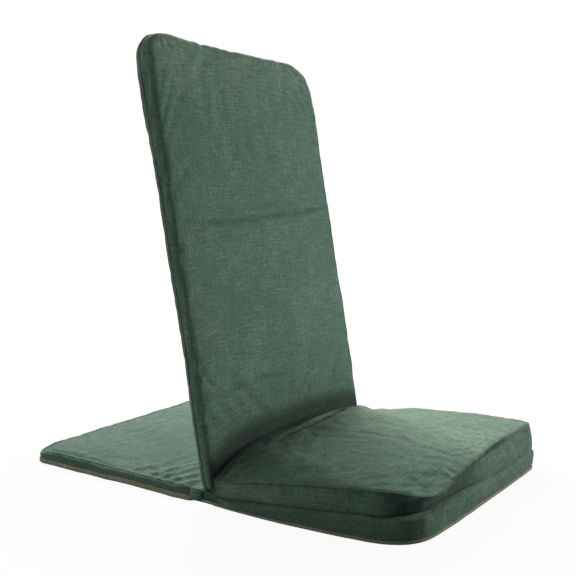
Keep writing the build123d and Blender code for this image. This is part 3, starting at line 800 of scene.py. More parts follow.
REAR_SEAM_RING, REAR_HEM_RING = 1, 7
REAR_SECTION = (
    (-0.0120, 1), (-0.0075, 0.972), (-0.0038, 0.90), (-0.0014, 0.79), (-0.0002, 0.66), (-0.0004, 0.56),
    (-0.0016, 0.47), (-0.0006, 0.36), (0.0004, 0.22), (0.0, 0.08), (-0.004, 0))
LEAST_HEIGHT = 0.0184  # of the canvas over the rear panel's tubes


def rear_ring(settings):
    """The rear panel's outline as a ring, a little wider beside the hinge, and how much of its
    section's outward steps each of its points takes: little along the hinge."""
    radii = (0.008, 0.008, settings.corner, settings.corner)
    loop, corners = rounded_loop(REAR_HALF, REAR_START, REAR_END + 0.003, radii)
    ring = ring_of(loop, corners, settings.columns, settings.rows)
    side = outward(ring)
    wider = 0.0015 * ease(np.abs(side[:, 0]), 0.5, 0.9) * (1 - ease(ring[:, 1], 0.05, 0.2))
    return ring + side * wider[:, None], 1 - 0.8 * ease(-side[:, 1], 0.3, 0.8)


def rear_top(points):
    """Height of the rear panel's top, which sinks towards its rear corners."""
    across, along = points[..., 0], points[..., 1]
    far = np.hypot(np.abs(across) - REAR_HALF, along - REAR_END)
    sink = np.where(across < 0, 0.0055, 0.0025) * np.exp(-(far / 0.032) ** 2)
    return REAR_TOP + 0.0018 * ease(along, 0.10, 0.30) - sink


def rear_folds():
    """Slack ridges of the rear panel's cover beside the hinge: (points, width, depth)."""
    def top(*points):
        return [(x / 1000, y / 1000, REAR_TOP) for x, y in points]

    return [
        (top((-232, 172), (-188, 146), (-150, 138), (-90, 128)), 0.006, 0.0013),
        (top((-233, 134), (-211, 114), (-180, 107), (-110, 88)), 0.0055, 0.0017),
        (top((-235, 102), (-210, 94), (-182, 87), (-120, 72)), 0.005, 0.0020),
        (top((-235, 80), (-204, 64), (-174, 57), (-120, 50)), 0.0045, 0.0021),
        (top((-237, 53), (-220, 43), (-200, 34), (-160, 30)), 0.0042, 0.0022),
        (top((-226, 150), (-190, 127), (-150, 118)), 0.006, -0.0012),
        (top((-228, 88), (-200, 78), (-170, 72)), 0.005, -0.0012),
        (top((-228, 62), (-205, 52), (-175, 45)), 0.0045, -0.0014),
        (top((60, 60), (130, 48), (200, 42)), 0.006, 0.0013),
        (top((90, 88), (150, 74), (215, 70)), 0.006, 0.0013),
        (top((120, 122), (170, 110), (225, 108)), 0.006, 0.0011),
        (top((-100, 40), (-40, 34), (40, 36)), 0.005, 0.0012),
        (top((-210, 355), (-140, 362), (-60, 358)), 0.008, -0.0008),
        (top((40, 362), (120, 358), (200, 362)), 0.008, -0.0008),
    ]


# Materials


def node(tree, kind, settings=None, **values):
    """A node with its settings and its inputs, which are values or sockets of other nodes.
    An input is called by its label, with _ for a space, or by i and its number."""
    made = tree.nodes.new(kind)
    for key, value in (settings or {}).items():
        setattr(made, key, value)
    for key, value in values.items():
        numbered = key[0] == "i" and key[1:].isdigit()
        socket = made.inputs[int(key[1:]) if numbered else key.replace("_", " ")]
        if isinstance(value, bpy.types.NodeSocket):
            tree.links.new(value, socket)
        else:
            socket.default_value = value
    return made


def maths(tree, operation, a, b=0.0):
    """A Math node's result."""
    return node(tree, "ShaderNodeMath", {"operation": operation}, i0=a, i1=b).outputs[0]


def times(tree, a, b):
    """Two numbers multiplied."""
    return maths(tree, "MULTIPLY", a, b)


def plus(tree, a, b):
    """Two numbers added."""
    return maths(tree, "ADD", a, b)


def swing(tree, value, centre, strength):
    """How far a value is from a centre, times a strength."""
    return times(tree, maths(tree, "SUBTRACT", value, centre), strength)


def blotches(tree, place, scale, **more):
    """A noise texture's value."""
    return node(tree, "ShaderNodeTexNoise", Vector=place, Scale=scale, **more).outputs["Fac"]


def mixed(tree, share, a, b):
    """Two colours mixed."""
    return node(tree, "ShaderNodeMix", {"data_type": "RGBA"}, i0=share, i6=a, i7=b).outputs[2]


def scaled(tree, vector, factor):
    """A vector or colour times a number."""
    return node(tree, "ShaderNodeVectorMath", {"operation": "SCALE"}, i0=vector, Scale=factor).outputs[0]


def effect(name, inputs, outputs):
    """An empty shader node group with its sockets: (label, value) in and (label, kind) out."""
    group = bpy.data.node_groups.new(name, "ShaderNodeTree")
    for label, value in inputs:
        kind = "NodeSocketColor" if isinstance(value, tuple) else "NodeSocketFloat"
        group.interface.new_socket(label, in_out="INPUT", socket_type=kind).default_value = value
    for label, kind in outputs:
        group.interface.new_socket(label, in_out="OUTPUT", socket_type=kind)
    return group, group.nodes.new("NodeGroupInput").outputs, group.nodes.new("NodeGroupOutput").inputs


def thread_height(group, uv, pitch):
    """Plain weave: the height of threads that go over and under each other."""
    threads = scaled(group, uv, maths(group, "DIVIDE", 1.0, pitch))
    apart = node(group, "ShaderNodeSeparateXYZ", i0=threads).outputs
    waves = [maths(group, "ABSOLUTE", maths(group, "SINE", times(group, apart[k], pi))) for k in (0, 1)]
    over = node(group, "ShaderNodeTexChecker", Vector=threads, Scale=1.0).outputs["Fac"]
    kind = {"data_type": "FLOAT"}
    return node(group, "ShaderNodeMix", kind, i0=over, i2=waves[0], i3=waves[1]).outputs[0]


def slubs(group, uv):
    """Thicker and thinner stretches of the threads, both ways of the cloth."""
    streaks = []
    for stretch in ((26.0, 330.0, 1.0), (330.0, 26.0, 1.0)):
        along = node(group, "ShaderNodeMapping", Vector=uv, Scale=stretch).outputs[0]
        streaks.append(blotches(group, along, 1.0, Detail=3.0))
    return plus(group, times(group, streaks[0], 1.25), times(group, streaks[1], 0.75))


def faded_colour(group, given, place, slub, speck):
    """The canvas's colour: paler where it is worn and where painted light is stored, in patches and along
    slubs, and warmer in patches.
    """
    patch = blotches(group, place, 9.0, Detail=5.0, Roughness=0.6)
    fade_and_painted_light = times(group, maths(group, "SUBTRACT", patch, 0.44), times(group, given["Fading"], 2.2))
    fade_and_painted_light = plus(group, fade_and_painted_light, swing(group, slub, 1.0, 0.75))
    fade_and_painted_light = plus(group, fade_and_painted_light, swing(group, speck, 0.5, 0.6))
    fade_and_painted_light = node(group, "ShaderNodeClamp", Value=plus(group, fade_and_painted_light, given["Wear and painted light"])).outputs[0]
    faded = mixed(group, fade_and_painted_light, given["Colour"], given["Faded"])
    hue = blotches(group, place, 5.0, Detail=4.0, Distortion=0.6)
    hue = node(group, "ShaderNodeMapRange", Value=hue, From_Min=0.35, From_Max=0.68, To_Min=0.0,
               To_Max=0.36).outputs[0]
    warm = node(group, "ShaderNodeVectorMath", {"operation": "MULTIPLY"}, i0=faded,
                i1=(1.10, 0.99, 0.84)).outputs[0]
    return mixed(group, hue, faded, warm)


def cloth_relief(group, uv, place, height, slub):
    """The height that the bump follows: threads, slubs, fine creases, and wrinkles along the cloth."""
    crease = blotches(group, place, 30.0, Detail=6.0, Distortion=1.2)
    total = plus(group, times(group, height, 0.18), times(group, crease, 1.6))
    total = plus(group, total, times(group, slub, 0.35))
    along = node(group, "ShaderNodeMapping", Vector=uv, Scale=(40.0, 130.0, 1.0)).outputs[0]
    wrinkle = blotches(group, along, 1.0, Detail=4.0, Distortion=1.4)
    return plus(group, total, times(group, wrinkle, 1.1))


def weave_effect():
    """Plain weave: threads over and under, slubs, patches of fading and fine creases, with the stored painted
    light and painted shade.
    """
    made = bpy.data.node_groups.get("canvas_weave")
    if made:
        return made
    group, given, result = effect(
        "canvas_weave",
        (("Colour", (0.1, 0.2, 0.1, 1)), ("Faded", (0.2, 0.25, 0.2, 1)), ("Pitch", 0.0008), ("Fading", 0.3),
         ("Wear and painted light", 0.0), ("Painted shade", 0.0)),
        (("Colour", "NodeSocketColor"), ("Roughness", "NodeSocketFloat"), ("Height", "NodeSocketFloat")))
    uv = node(group, "ShaderNodeUVMap", {"uv_map": "cloth"}).outputs[0]
    place = node(group, "ShaderNodeTexCoord").outputs["Object"]
    height = thread_height(group, uv, given["Pitch"])
    slub = slubs(group, uv)
    speck = blotches(group, place, 210.0, Detail=3.0)
    colour = faded_colour(group, given, place, slub, speck)
    # Darker where the threads dip, with the random tone of slubs and specks, and darkened by the stored
    # painted shade of folds, hollows and the valley before the backrest.
    painted_shade = plus(group, times(group, height, 0.26), 0.83)
    uneven = plus(group, swing(group, slub, 1.0, 0.34), swing(group, speck, 0.5, 0.7))
    painted_shade = times(group, painted_shade, plus(group, uneven, 1.0))
    painted_shade = times(group, painted_shade, maths(group, "SUBTRACT", 1.0, times(group, given["Painted shade"], 0.8)))
    group.links.new(scaled(group, colour, painted_shade), result["Colour"])
    group.links.new(plus(group, times(group, speck, 0.12), 0.80), result["Roughness"])
    group.links.new(cloth_relief(group, uv, place, height, slub), result["Height"])
    return group


def material_with(name, effect_tree, values, bump_distance, strength=0.6):
    """A material whose Principled BSDF takes its colour, roughness and bump from an effect."""
    material = bpy.data.materials.new(name)
    material.use_nodes = True
    tree = material.node_tree
    shader = tree.nodes["Principled BSDF"]
    used = tree.nodes.new("ShaderNodeGroup")
    used.node_tree = effect_tree
    for label, value in values.items():
        used.inputs[label].default_value = value
    bump = node(tree, "ShaderNodeBump", Strength=strength, Distance=bump_distance,
                Height=used.outputs["Height"])
    tree.links.new(used.outputs["Colour"], shader.inputs["Base Color"])
    tree.links.new(used.outputs["Roughness"], shader.inputs["Roughness"])
    tree.links.new(bump.outputs[0], shader.inputs["Normal"])
    return material, shader, used


def canvas(name="canvas_cloth", hem=False):
    """The covers' woven cotton, made once for each colour."""
    found = bpy.data.materials.get(name)
    if found:
        return found
    settings = bpy.context.scene.chair_canvas
    colour = settings.hem if hem else settings.green
    faded = [min(1.0, c * 1.35) for c in settings.hem] if hem else settings.faded
    values = {"Colour": (*colour, 1), "Faded": (*faded, 1), "Pitch": settings.thread, "Fading": 0.6}
    material, shader, used = material_with(name, weave_effect(), values, 0.0009)
    tree = material.node_tree
    # The stored wear with its painted light, and the stored painted shade, drive the weave.
    for layer, label in (("wear_and_painted_light", "Wear and painted light"), ("painted_shade", "Painted shade")):
        amount = node(tree, "ShaderNodeAttribute", {"attribute_name": layer}).outputs["Fac"]
        tree.links.new(amount, used.inputs[label])
    for label, value in (("Sheen Weight", 0.05), ("Sheen Roughness", 0.5), ("Specular IOR Level", 0.12)):
        shader.inputs[label].default_value = value
    return material


def grain_effect():
    """Fine grain with scuffs, for painted, plated, moulded and foamed surfaces."""
    made = bpy.data.node_groups.get("surface_grain")
    if made:
        return made
    group, given, result = effect(
        "surface_grain",
        (("Colour", (0.1, 0.1, 0.1, 1)), ("Scuffed", (0.2, 0.2, 0.2, 1)), ("Grain", 600.0), ("Scuffs", 0.3),
         ("Base roughness", 0.5), ("Spread", 0.2)),
        (("Colour", "NodeSocketColor"), ("Roughness", "NodeSocketFloat"), ("Height", "NodeSocketFloat")))
    place = node(group, "ShaderNodeTexCoord").outputs["Object"]
    grain = blotches(group, place, given["Grain"], Detail=3.0)
    worn_patch = blotches(group, place, 45.0, Detail=7.0, Roughness=0.7)
    share = node(group, "ShaderNodeMapRange", Value=worn_patch, From_Min=0.5, From_Max=0.72).outputs[0]
    share = times(group, share, given["Scuffs"])
    group.links.new(mixed(group, share, given["Colour"], given["Scuffed"]), result["Colour"])
    rough = swing(group, worn_patch, 0.5, given["Spread"])
    group.links.new(plus(group, rough, given["Base roughness"]), result["Roughness"])
    group.links.new(grain, result["Height"])
    return group


def hard(name, colour, scuffed, grain, roughness, metallic=0.0, bump=0.0001, scuffs=0.4):
    """A finish with grain: paint, plating, plastic, rubber or foam."""
    found = bpy.data.materials.get(name)
    if found:
        return found
    values = {"Colour": (*colour, 1), "Scuffed": (*scuffed, 1), "Grain": grain, "Scuffs": scuffs,
              "Base roughness": roughness, "Spread": 0.35}
    material, shader, _used = material_with(name, grain_effect(), values, bump, 0.4)
    shader.inputs["Metallic"].default_value = metallic
    return material


def foam():
    """Open-cell upholstery foam."""
    return hard("upholstery_foam", (0.72, 0.62, 0.36), (0.80, 0.72, 0.48), 900.0, 0.9, bump=0.0004)


def dress(piece, material, body):
    """Gives a piece its material, body and slot."""
    piece.data.materials.clear()
    piece.data.materials.append(material)
    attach(piece, body)


# Seams and stitches by geometry nodes


def path_tree(name, inputs):
    """A geometry node tree that starts from a line's mesh, with named inputs."""
    tree = bpy.data.node_groups.new(name, "GeometryNodeTree")
    tree.interface.new_socket("Geometry", in_out="INPUT", socket_type="NodeSocketGeometry")
    for label, kind, value in inputs:
        socket = tree.interface.new_socket(label, in_out="INPUT", socket_type=kind)
        if value is not None:
            socket.default_value = value
    tree.interface.new_socket("Geometry", in_out="OUTPUT", socket_type="NodeSocketGeometry")
    given, result = tree.nodes.new("NodeGroupInput"), tree.nodes.new("NodeGroupOutput")
    curve = node(tree, "GeometryNodeMeshToCurve", Mesh=given.outputs["Geometry"]).outputs[0]
    return tree, given.outputs, result.inputs, curve


def finish_tree(tree, given, result, geometry):
    """Realizes what a tree made and gives it its material."""
    real = node(tree, "GeometryNodeRealizeInstances", Geometry=geometry).outputs[0]
    done = node(tree, "GeometryNodeSetMaterial", Geometry=real, Material=given["Material"]).outputs[0]
    tree.links.new(done, result["Geometry"])
    return tree


def seam_tree():
    """A thin round seam along a line."""
    made = bpy.data.node_groups.get("seam_cord")
    if made:
        return made
    tree, given, result, curve = path_tree("seam_cord", (
        ("Radius", "NodeSocketFloat", 0.001), ("Material", "NodeSocketMaterial", None)))
    circle = node(tree, "GeometryNodeCurvePrimitiveCircle", Resolution=6, Radius=given["Radius"]).outputs[0]
    tube = node(tree, "GeometryNodeCurveToMesh", Curve=curve, Profile_Curve=circle, Fill_Caps=True).outputs[0]
    return finish_tree(tree, given, result, tube)


def stitch_tree():
    """Stitches along a line: short rounded bars, one after another."""
    made = bpy.data.node_groups.get("stitch_row")
    if made:
        return made
    tree, given, result, curve = path_tree("stitch_row", (
        ("Pitch", "NodeSocketFloat", 0.0036), ("Length", "NodeSocketFloat", 0.0026),
        ("Radius", "NodeSocketFloat", 0.0003), ("Material", "NodeSocketMaterial", None)))
    spots = node(tree, "GeometryNodeResampleCurve", {"mode": "LENGTH"}, Curve=curve,
                 Length=given["Pitch"]).outputs[0]
    half = times(tree, given["Length"], 0.5)
    ends = []
    for way in (-1.0, 1.0):
        ends.append(node(tree, "ShaderNodeCombineXYZ", X=times(tree, half, way)).outputs[0])
    line = node(tree, "GeometryNodeCurvePrimitiveLine", Start=ends[0], End=ends[1]).outputs[0]
    bar = node(tree, "GeometryNodeResampleCurve", Curve=line, Count=4).outputs[0]
    factor = node(tree, "GeometryNodeSplineParameter").outputs["Factor"]
    arch = maths(tree, "SINE", times(tree, factor, pi))
    thick = plus(tree, times(tree, arch, 0.6), 0.4)
    circle = node(tree, "GeometryNodeCurvePrimitiveCircle", Resolution=4, Radius=given["Radius"]).outputs[0]
    tube = node(tree, "GeometryNodeCurveToMesh", Curve=bar, Profile_Curve=circle, Scale=thick,
                Fill_Caps=True).outputs[0]
    tangent = node(tree, "GeometryNodeInputTangent").outputs[0]
    turn = node(tree, "FunctionNodeAlignRotationToVector", {"axis": "X"}, Vector=tangent).outputs[0]
    row = node(tree, "GeometryNodeInstanceOnPoints", Points=spots, Instance=tube,
               Rotation=turn).outputs[0]
    return finish_tree(tree, given, result, row)


def along_lines(name, lines, tree, values, body):
    """A mesh made by a geometry node tree along lines of points; each line is (points, closed)."""
    points, edges = [], []
    for line, closed in lines:
        start = len(points)
        points += [tuple(p) for p in line]
        edges += [(start + k, start + k + 1) for k in range(len(line) - 1)]
        if closed:
            edges.append((start + len(line) - 1, start))
    mesh = bpy.data.meshes.new(name)
    mesh.from_pydata(points, edges, [])
    piece = bpy.data.objects.new(name, mesh)
    bpy.context.scene.collection.objects.link(piece)
    modifier = piece.modifiers.new(name, "NODES")
    modifier.node_group = tree
    for item in tree.interface.items_tree:
        if item.item_type == "SOCKET" and item.in_out == "INPUT" and item.name in values:
            modifier[item.identifier] = values[item.name]
    settle(piece)
    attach(piece, body)
    return piece


def seams(name, lines, body, material):
    """Raised seams along lines."""
    radius = bpy.context.scene.chair_canvas.cord
    return along_lines(name, lines, seam_tree(), {"Radius": radius, "Material": material}, body)


def stitches(name, lines, body):
    """Rows of stitches along lines."""
    settings = bpy.context.scene.chair_canvas
    thread = hard("sewing_thread", (0.10, 0.15, 0.11), (0.16, 0.21, 0.16), 1500.0, 0.7)
    values = {"Pitch": settings.stitch, "Length": settings.stitch * 0.74, "Radius": 0.00038,
              "Material": thread}
    return along_lines(name, lines, stitch_tree(), values, body)


# Hems, foam, and the looks of each cover


def bound_edge(name, rim, section, body):
    """The bound hem along a cover's lower edge."""
    hem = band_strip(name, rim, section)
    dress(hem, canvas("hem_cloth", True), body)


def foam_block(name, ring, section, front_of, back_of, columns, rows, node_name, body):
    """A foam slab inside a cover, which stands for the frame's plain foam."""
    piece, _rings = slab(name, ring, section, front_of, back_of, columns, rows)
    if body == "backrest":
        stand(piece)
    piece.data.shade_smooth()
    dress(piece, foam(), body)
    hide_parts(node_name)


def seat_relief(co, seam):
    """How far the cushion's creases, rumples and gathers move each vertex out."""
    out = pressed(co, seat_folds())
    out += 0.0011 * rumple(co, 0.050, 1) + 0.0006 * rumple(co, 0.020, 2)
    out += 0.0016 * pucker(co, seam, 0.011, 0.010, 3) * ease(-co[:, 1], 0.02, 0.06)
    off_floor = ease(co[:, 2], 0.001, 0.006)
    return out * (off_floor * (1 - ease(co[:, 1], -0.032, -0.022)))


def seat_wear_and_painted_light(co, normal, seam, fold):
    """How worn the cushion's cloth is, with painted light paling its top towards the right and its left
    band's upper rear; and its painted shade on its front and left bands, along their fold, under the seam,
    and in the valley before the backrest."""
    x, y, z = co.T
    at, near = nearest(co, seam)
    fold_near = nearest(co, fold)[1]
    ahead, beside = ease(-normal[:, 1], 0.35, 0.75), ease(-normal[:, 0], 0.35, 0.75)
    facing = np.maximum(ahead, beside) * ease(-y, 0.04, 0.09)
    # Painted shade on the front and left bands where less light falls: the front above its fold, the left
    # band below it, a patch near the front left corner, along the fold and under the seam; less of it to the
    # right.
    falloff = 1 - ease(x, -0.08, 0.07)
    falloff *= 1 - 0.65 * np.exp(-(np.hypot(x + 0.203, y + 0.338) / 0.022) ** 2)
    above = ease(z - fold[at, 2], -0.001, 0.003)
    flat = (0.04 + 0.54 * ahead) * falloff * above + 0.19 * ahead + 0.22 * beside * (1 - above)
    flat += 0.55 * above * np.exp(-((y + 0.318) / 0.020) ** 2) * (x < -0.15)
    drop = seam[at, 2] - z
    along_fold = (0.25 + 0.40 * falloff) * np.exp(-(fold_near / 0.0036) ** 2)
    below_seam = 0.30 * np.exp(-(near / 0.007) ** 2) * ease(drop, 0.0008, 0.002)
    painted_shade = facing * (flat + along_fold + below_seam)
    # Painted shade in the groove under the front seam, and at the rear end of the left band.
    hidden = 0.0025 + 0.0035 * ease(x, -0.06, 0.05)
    under = ease(drop, 0.0004, 0.0012) * (1 - ease((drop - hidden) / 0.003, 0, 1)) * (y < -0.3)
    painted_shade = np.maximum(painted_shade, 0.9 * under * ease(x, -0.15, -0.11) * (1 - ease(x, 0.08, 0.16)))
    painted_shade = np.maximum(painted_shade, 0.6 * ease(y, -0.045, -0.022) * (1 - ease(y, 0.0, 0.01)) * (x < -0.2))
    # Painted shade on faces turned up in the valley before the backrest and in its groove.
    valley = (1 - ease(-y, 0.045, 0.14)) * (1 - ease(x, -0.04, 0.15)) * 0.58
    valley = np.maximum(valley, 0.85 * (1 - ease(-y, 0.028, 0.05)) * (1 - ease(x, 0.16, 0.24)))
    groove = dark_along(co, [seat_groove()], 0.0035)
    painted_shade = np.maximum(painted_shade, ease(normal[:, 2], 0.1, 0.5) * np.maximum(valley, 0.8 * groove))
    # Wear along the seam, with painted light: the top paler towards the right and the upper rear of the left
    # band paler.
    wear_and_painted_light = 0.20 * np.exp(-near / 0.006)
    wear_and_painted_light += (0.08 + 0.48 * ease(x, -0.12, 0.12)) * ease(normal[:, 2], 0.2, 0.9)
    wear_and_painted_light += 0.30 * beside * above * (1 - ease(-y, 0.18, 0.27))
    return wear_and_painted_light + 0.2 * ease(x, -0.05, 0.12), painted_shade


def fill_seat():
    """The cushion's foam, a few millimetres inside the cover."""
    low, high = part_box("seat_foam")
    half_width, faces = 0.212, 40
    radii = (0.078, 0.03, 0.01, 0.01)
    loop, corners = rounded_loop(half_width, low.y + 0.027, high.y - 0.016, radii)
    ring = ring_of(loop, corners, faces, faces)
    section = ((-0.006, 1), (-0.002, 0.96), (0, 0.85), (0, 0.3), (-0.001, 0))
    foam_block("seat_foam_block", ring, section, lambda p: seat_top(p[..., 0] * 1.04, p[..., 1]) - 0.008,
               lambda p: low.z + 0 * p[..., 0], faces, faces, "seat_foam", "seat")


def sew_seat(piece, edge):
    """The seam round the crown, as far as the backrest, and the stitches just inside it."""
    tree = surface(piece)
    kept = np.flatnonzero(edge[:, 1] < -0.034)
    breaks = np.flatnonzero(np.diff(kept) > 1)
    line = edge[np.roll(kept, -1 - breaks[0]) if len(breaks) else kept]
    seams("seat_seam", [(lay_on(tree, line, SEAM_LIFT), False)], "seat", canvas())
    along = np.gradient(line[:, :2], axis=0)
    along /= np.linalg.norm(along, axis=1)[:, None]
    way = np.stack([along[:, 1], -along[:, 0], 0 * along[:, 0]], 1)
    inside = line - 0.0035 * way + np.array([0, 0, 0.002])
    stitches("seat_stitches", [(lay_on(tree, inside, STITCH_LIFT), False)], "seat")


def backrest_relief(co, normal, up, seam):
    """How far the backrest's creases, rumples and gathers move each vertex out."""
    out = pressed(co, backrest_folds())
    out += 0.0016 * rumple(co, 0.095, 4) + 0.0005 * rumple(co, 0.028, 5, (1, 1, 1.6))
    out += 0.0012 * pucker(co, seam, 0.013, 0.009, 6)
    out += 0.0010 * ease(up, 0.64, 0.72) * rumple(co, 0.030, 7, (1.6, 1, 1))
    out = np.where(normal @ np.array(OUT) < -0.5, np.maximum(out, -0.0006), out)
    return out * ease(up, 0.035, 0.11)


def backrest_wear_and_painted_light(co, up):
    """How pale the backrest's cloth is, near its top and worn along its side edges, and its painted shade
    just above the cushion and along some creases.
    """
    out = co @ np.array(OUT)
    edge = ease(np.abs(co[:, 0]), 0.215, 0.232) * ease(out, 0.012, 0.024)
    above = up - seat_top(co[:, 0], -0.02) / cos(RECLINE)
    facing = ease(out, 0.016, 0.026)
    # Painted shade on the front just above the cushion, and along some creases.
    painted_shade = 0.95 * (1 - ease(above, 0.008, 0.048)) * facing
    painted_shade = np.maximum(painted_shade, 0.26 * (1 - ease(above, 0.02, 0.11)) * facing)
    folds = backrest_folds()
    for darkness, width, numbers in PAINTED_CREASE_SHADE:
        lines = [folds[k][0] for k in numbers]
        painted_shade = np.maximum(painted_shade, darkness * dark_along(co, lines, width))
    return 0.02 + 0.36 * ease(up, 0.63, 0.715) + 0.12 * edge, painted_shade


def fill_backrest():
    """The backrest's foam sheet, a few millimetres inside the cover."""
    name, columns, rows = "backrest_foam", 20, 30
    low, high = -reach(name, -UP) + 0.002, reach(name, UP) - 0.003
    loop, corners = rounded_loop(reach(name, ACROSS) - 0.003, low, high, (0.004, 0.004, 0.062, 0.058))
    front, back = reach(name, OUT) - 0.003, -reach(name, -OUT)
    foam_block("backrest_foam_sheet", ring_of(loop, corners, columns, rows),
               ((-0.001, 1), (0, 0.9), (0, 0.1), (-0.001, 0)), lambda p: front + 0 * p[..., 0],
               lambda p: back + 0 * p[..., 0], columns, rows, name, "backrest")


def sew_backrest(piece, edge):
    """The pale seam round the backrest's back edge, and the seam up the right side of its front."""
    tree = surface(piece)
    seam = lay_on(tree, edge, SEAM_LIFT, closed=True)
    seams("backrest_back_seam", [(seam, True)], "backrest", canvas("hem_cloth", True))
    right = [ACROSS * (HALF - 0.005) + UP * s + OUT * BACK_THICK for s in np.linspace(0.125, 0.645, 40)]
    seams("backrest_front_seam", [(lay_on(tree, right, SEAM_LIFT), False)], "backrest", canvas())


def rear_relief(co, normal, seam):
    """How far the rear panel's creases, rumples and gathers move each vertex out, off its tubes."""
    out = pressed(co, rear_folds())
    inside = np.minimum(REAR_HALF - np.abs(co[:, 0]), REAR_END - co[:, 1])
    out -= 0.0012 * np.exp(-((inside - 0.014) / 0.006) ** 2) * ease(normal[:, 2], 0.5, 0.9)
    out += 0.0012 * rumple(co, 0.080, 8) + 0.0005 * rumple(co, 0.022, 9)
    out += 0.0012 * pucker(co, seam, 0.012, 0.010, 10)
    slack = 1 - ease(co[:, 1], 0.03, 0.17)
    out += 0.0012 * slack * rumple(co, 0.016, 11, (0.55, 1.5, 1))
    spare = np.maximum(co[:, 2] - LEAST_HEIGHT, 0)
    out = np.where(normal[:, 2] > 0.6, np.maximum(out, -spare), out)
    return out * ease(co[:, 2], 0.002, 0.012)


# The hinge cloth

HINGE_HALF = 0.2335
HINGE_TOP = REAR_TOP + 0.0002
HINGE_LAP = 0.010
CLOTH_THICKNESS = 0.0008


def hinge_section():
    """The strip's section across the chair: up one flank, over the top and down the other flank."""
    flank = ((1.0, 0.0030), (1.006, 0.008), (1.005, 0.0145), (0.992, 0.0190))
    section = [(-HINGE_HALF * x, z) for x, z in flank]
    section += [(HINGE_HALF * 0.98 * x, HINGE_TOP) for x in np.linspace(-1, 1, 161)]
    section += [(HINGE_HALF * x, z) for x, z in reversed(flank)]
    return section


def hinge_strip(name, start, end):
    """One of the two strips over the hinge, which sag and ripple most in its middle."""
    widths = ((HINGE_MIDDLE - HINGE_LAP, 0.984), (HINGE_MIDDLE - 0.005, 1.0), (HINGE_MIDDLE, 1.008),
              (HINGE_MIDDLE + HINGE_LAP, 1.004))
    section, rows = hinge_section(), np.linspace(start, end, 9)
    count = len(section)
    points, faces, uvs = [], [], []
    for y in rows:
        near = max(0.0, 1 - abs(y - HINGE_MIDDLE) / HINGE_LAP)
        wide = float(steps(y, widths))
        for x, z in section:
            ripple = noise.noise(Vector((x / 0.012, y / 0.02, 4.0)))
            outer = float(ease(abs(x), 0.19, 0.23))
            loose = 1 if z >= HINGE_TOP else 0.4
            sag = loose * (0.0007 + 0.0012 * outer) * ripple
            points.append((x * wide, y, z + near * (sag - 0.0010 * loose)))
    for j in range(len(rows) - 1):
        for i in range(count - 1):
            a = j * count + i
            quad = (a, a + 1, a + 1 + count, a + count)
            faces.append(quad)
            uvs.append([points[k] for k in quad])
    piece = shown(name, points, faces, uvs)
    thick = piece.modifiers.new("thickness", "SOLIDIFY")
    thick.thickness = CLOTH_THICKNESS
    thick.offset = 1.0
    settle(piece)
    return piece


# Operators

SEAT_HEM = ((-0.001, 0.0003), (0.0006, 0.0004), (0.0011, 0.0020), (0.0009, 0.0042), (0.0004, 0.0052),
            (-0.0012, 0.0052))


class CHAIR_OT_seat(bpy.types.Operator):
    """Makes the cushion: canvas cover, foam, hem, seam and stitches"""
    bl_idname = "chair.seat"
    bl_label = "Seat cushion"

    def execute(self, context):
        settings = context.scene.chair_seat
        piece, rings = seat_mesh(settings)
        sharpen(piece, rings[0], 0.75)
        sharpen(piece, rings[FOLD_RING], 0.8)
        cage = places(piece)
        low = np.flatnonzero((cage[:, 2] < 0.004) | (cage[:, 1] > -0.03))
        held = [p for k in HELD_RINGS for p in rings[k]]
        inflated(piece, [*held, *low], settings.pressure, settings.swell)
        smoothed(piece)
        co, normal = places(piece), normals(piece)
        put(piece, co + normal * seat_relief(co, co[rings[0]])[:, None])
        co = places(piece)
        wear_and_painted_light, painted_shade = seat_wear_and_painted_light(co, normal, co[rings[0]], co[rings[FOLD_RING]])
        store_wear_and_painted_light(piece, wear_and_painted_light, painted_shade)
        dress(piece, canvas(), "seat")
        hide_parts("seat_cover")
        fill_seat()
        sew_seat(piece, co[rings[0]])
        bound_edge("seat_hem", co[rings[HEM_RING]], SEAT_HEM, "seat")
        return {"FINISHED"}


class CHAIR_OT_backrest(bpy.types.Operator):
    """Makes the backrest: canvas cover, foam and seams"""
    bl_idname = "chair.backrest"
    bl_label = "Backrest"

    def execute(self, context):
        settings = context.scene.chair_backrest
        ring = backrest_ring(settings)
        piece, rings = slab("backrest_canvas", ring, BACKREST_SECTION, backrest_front, backrest_back,
                            settings.columns, settings.rows)
        edge = rings[BACK_SEAM_RING]
        sharpen(piece, edge, 0.5)
        stand(piece)
        low = np.flatnonzero(places(piece) @ np.array(UP) < 0.11)
        inflated(piece, [*edge, *low], settings.pressure, settings.swell)
        smoothed(piece)
        co, normal = places(piece), normals(piece)
        up = co @ np.array(UP)
        put(piece, co + normal * backrest_relief(co, normal, up, co[edge])[:, None])
        co = places(piece)
        wear_and_painted_light, painted_shade = backrest_wear_and_painted_light(co, up)
        store_wear_and_painted_light(piece, wear_and_painted_light, painted_shade)
        dress(piece, canvas(), "backrest")
        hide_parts("backrest_cover")
        fill_backrest()
        sew_backrest(piece, co[edge])
        return {"FINISHED"}


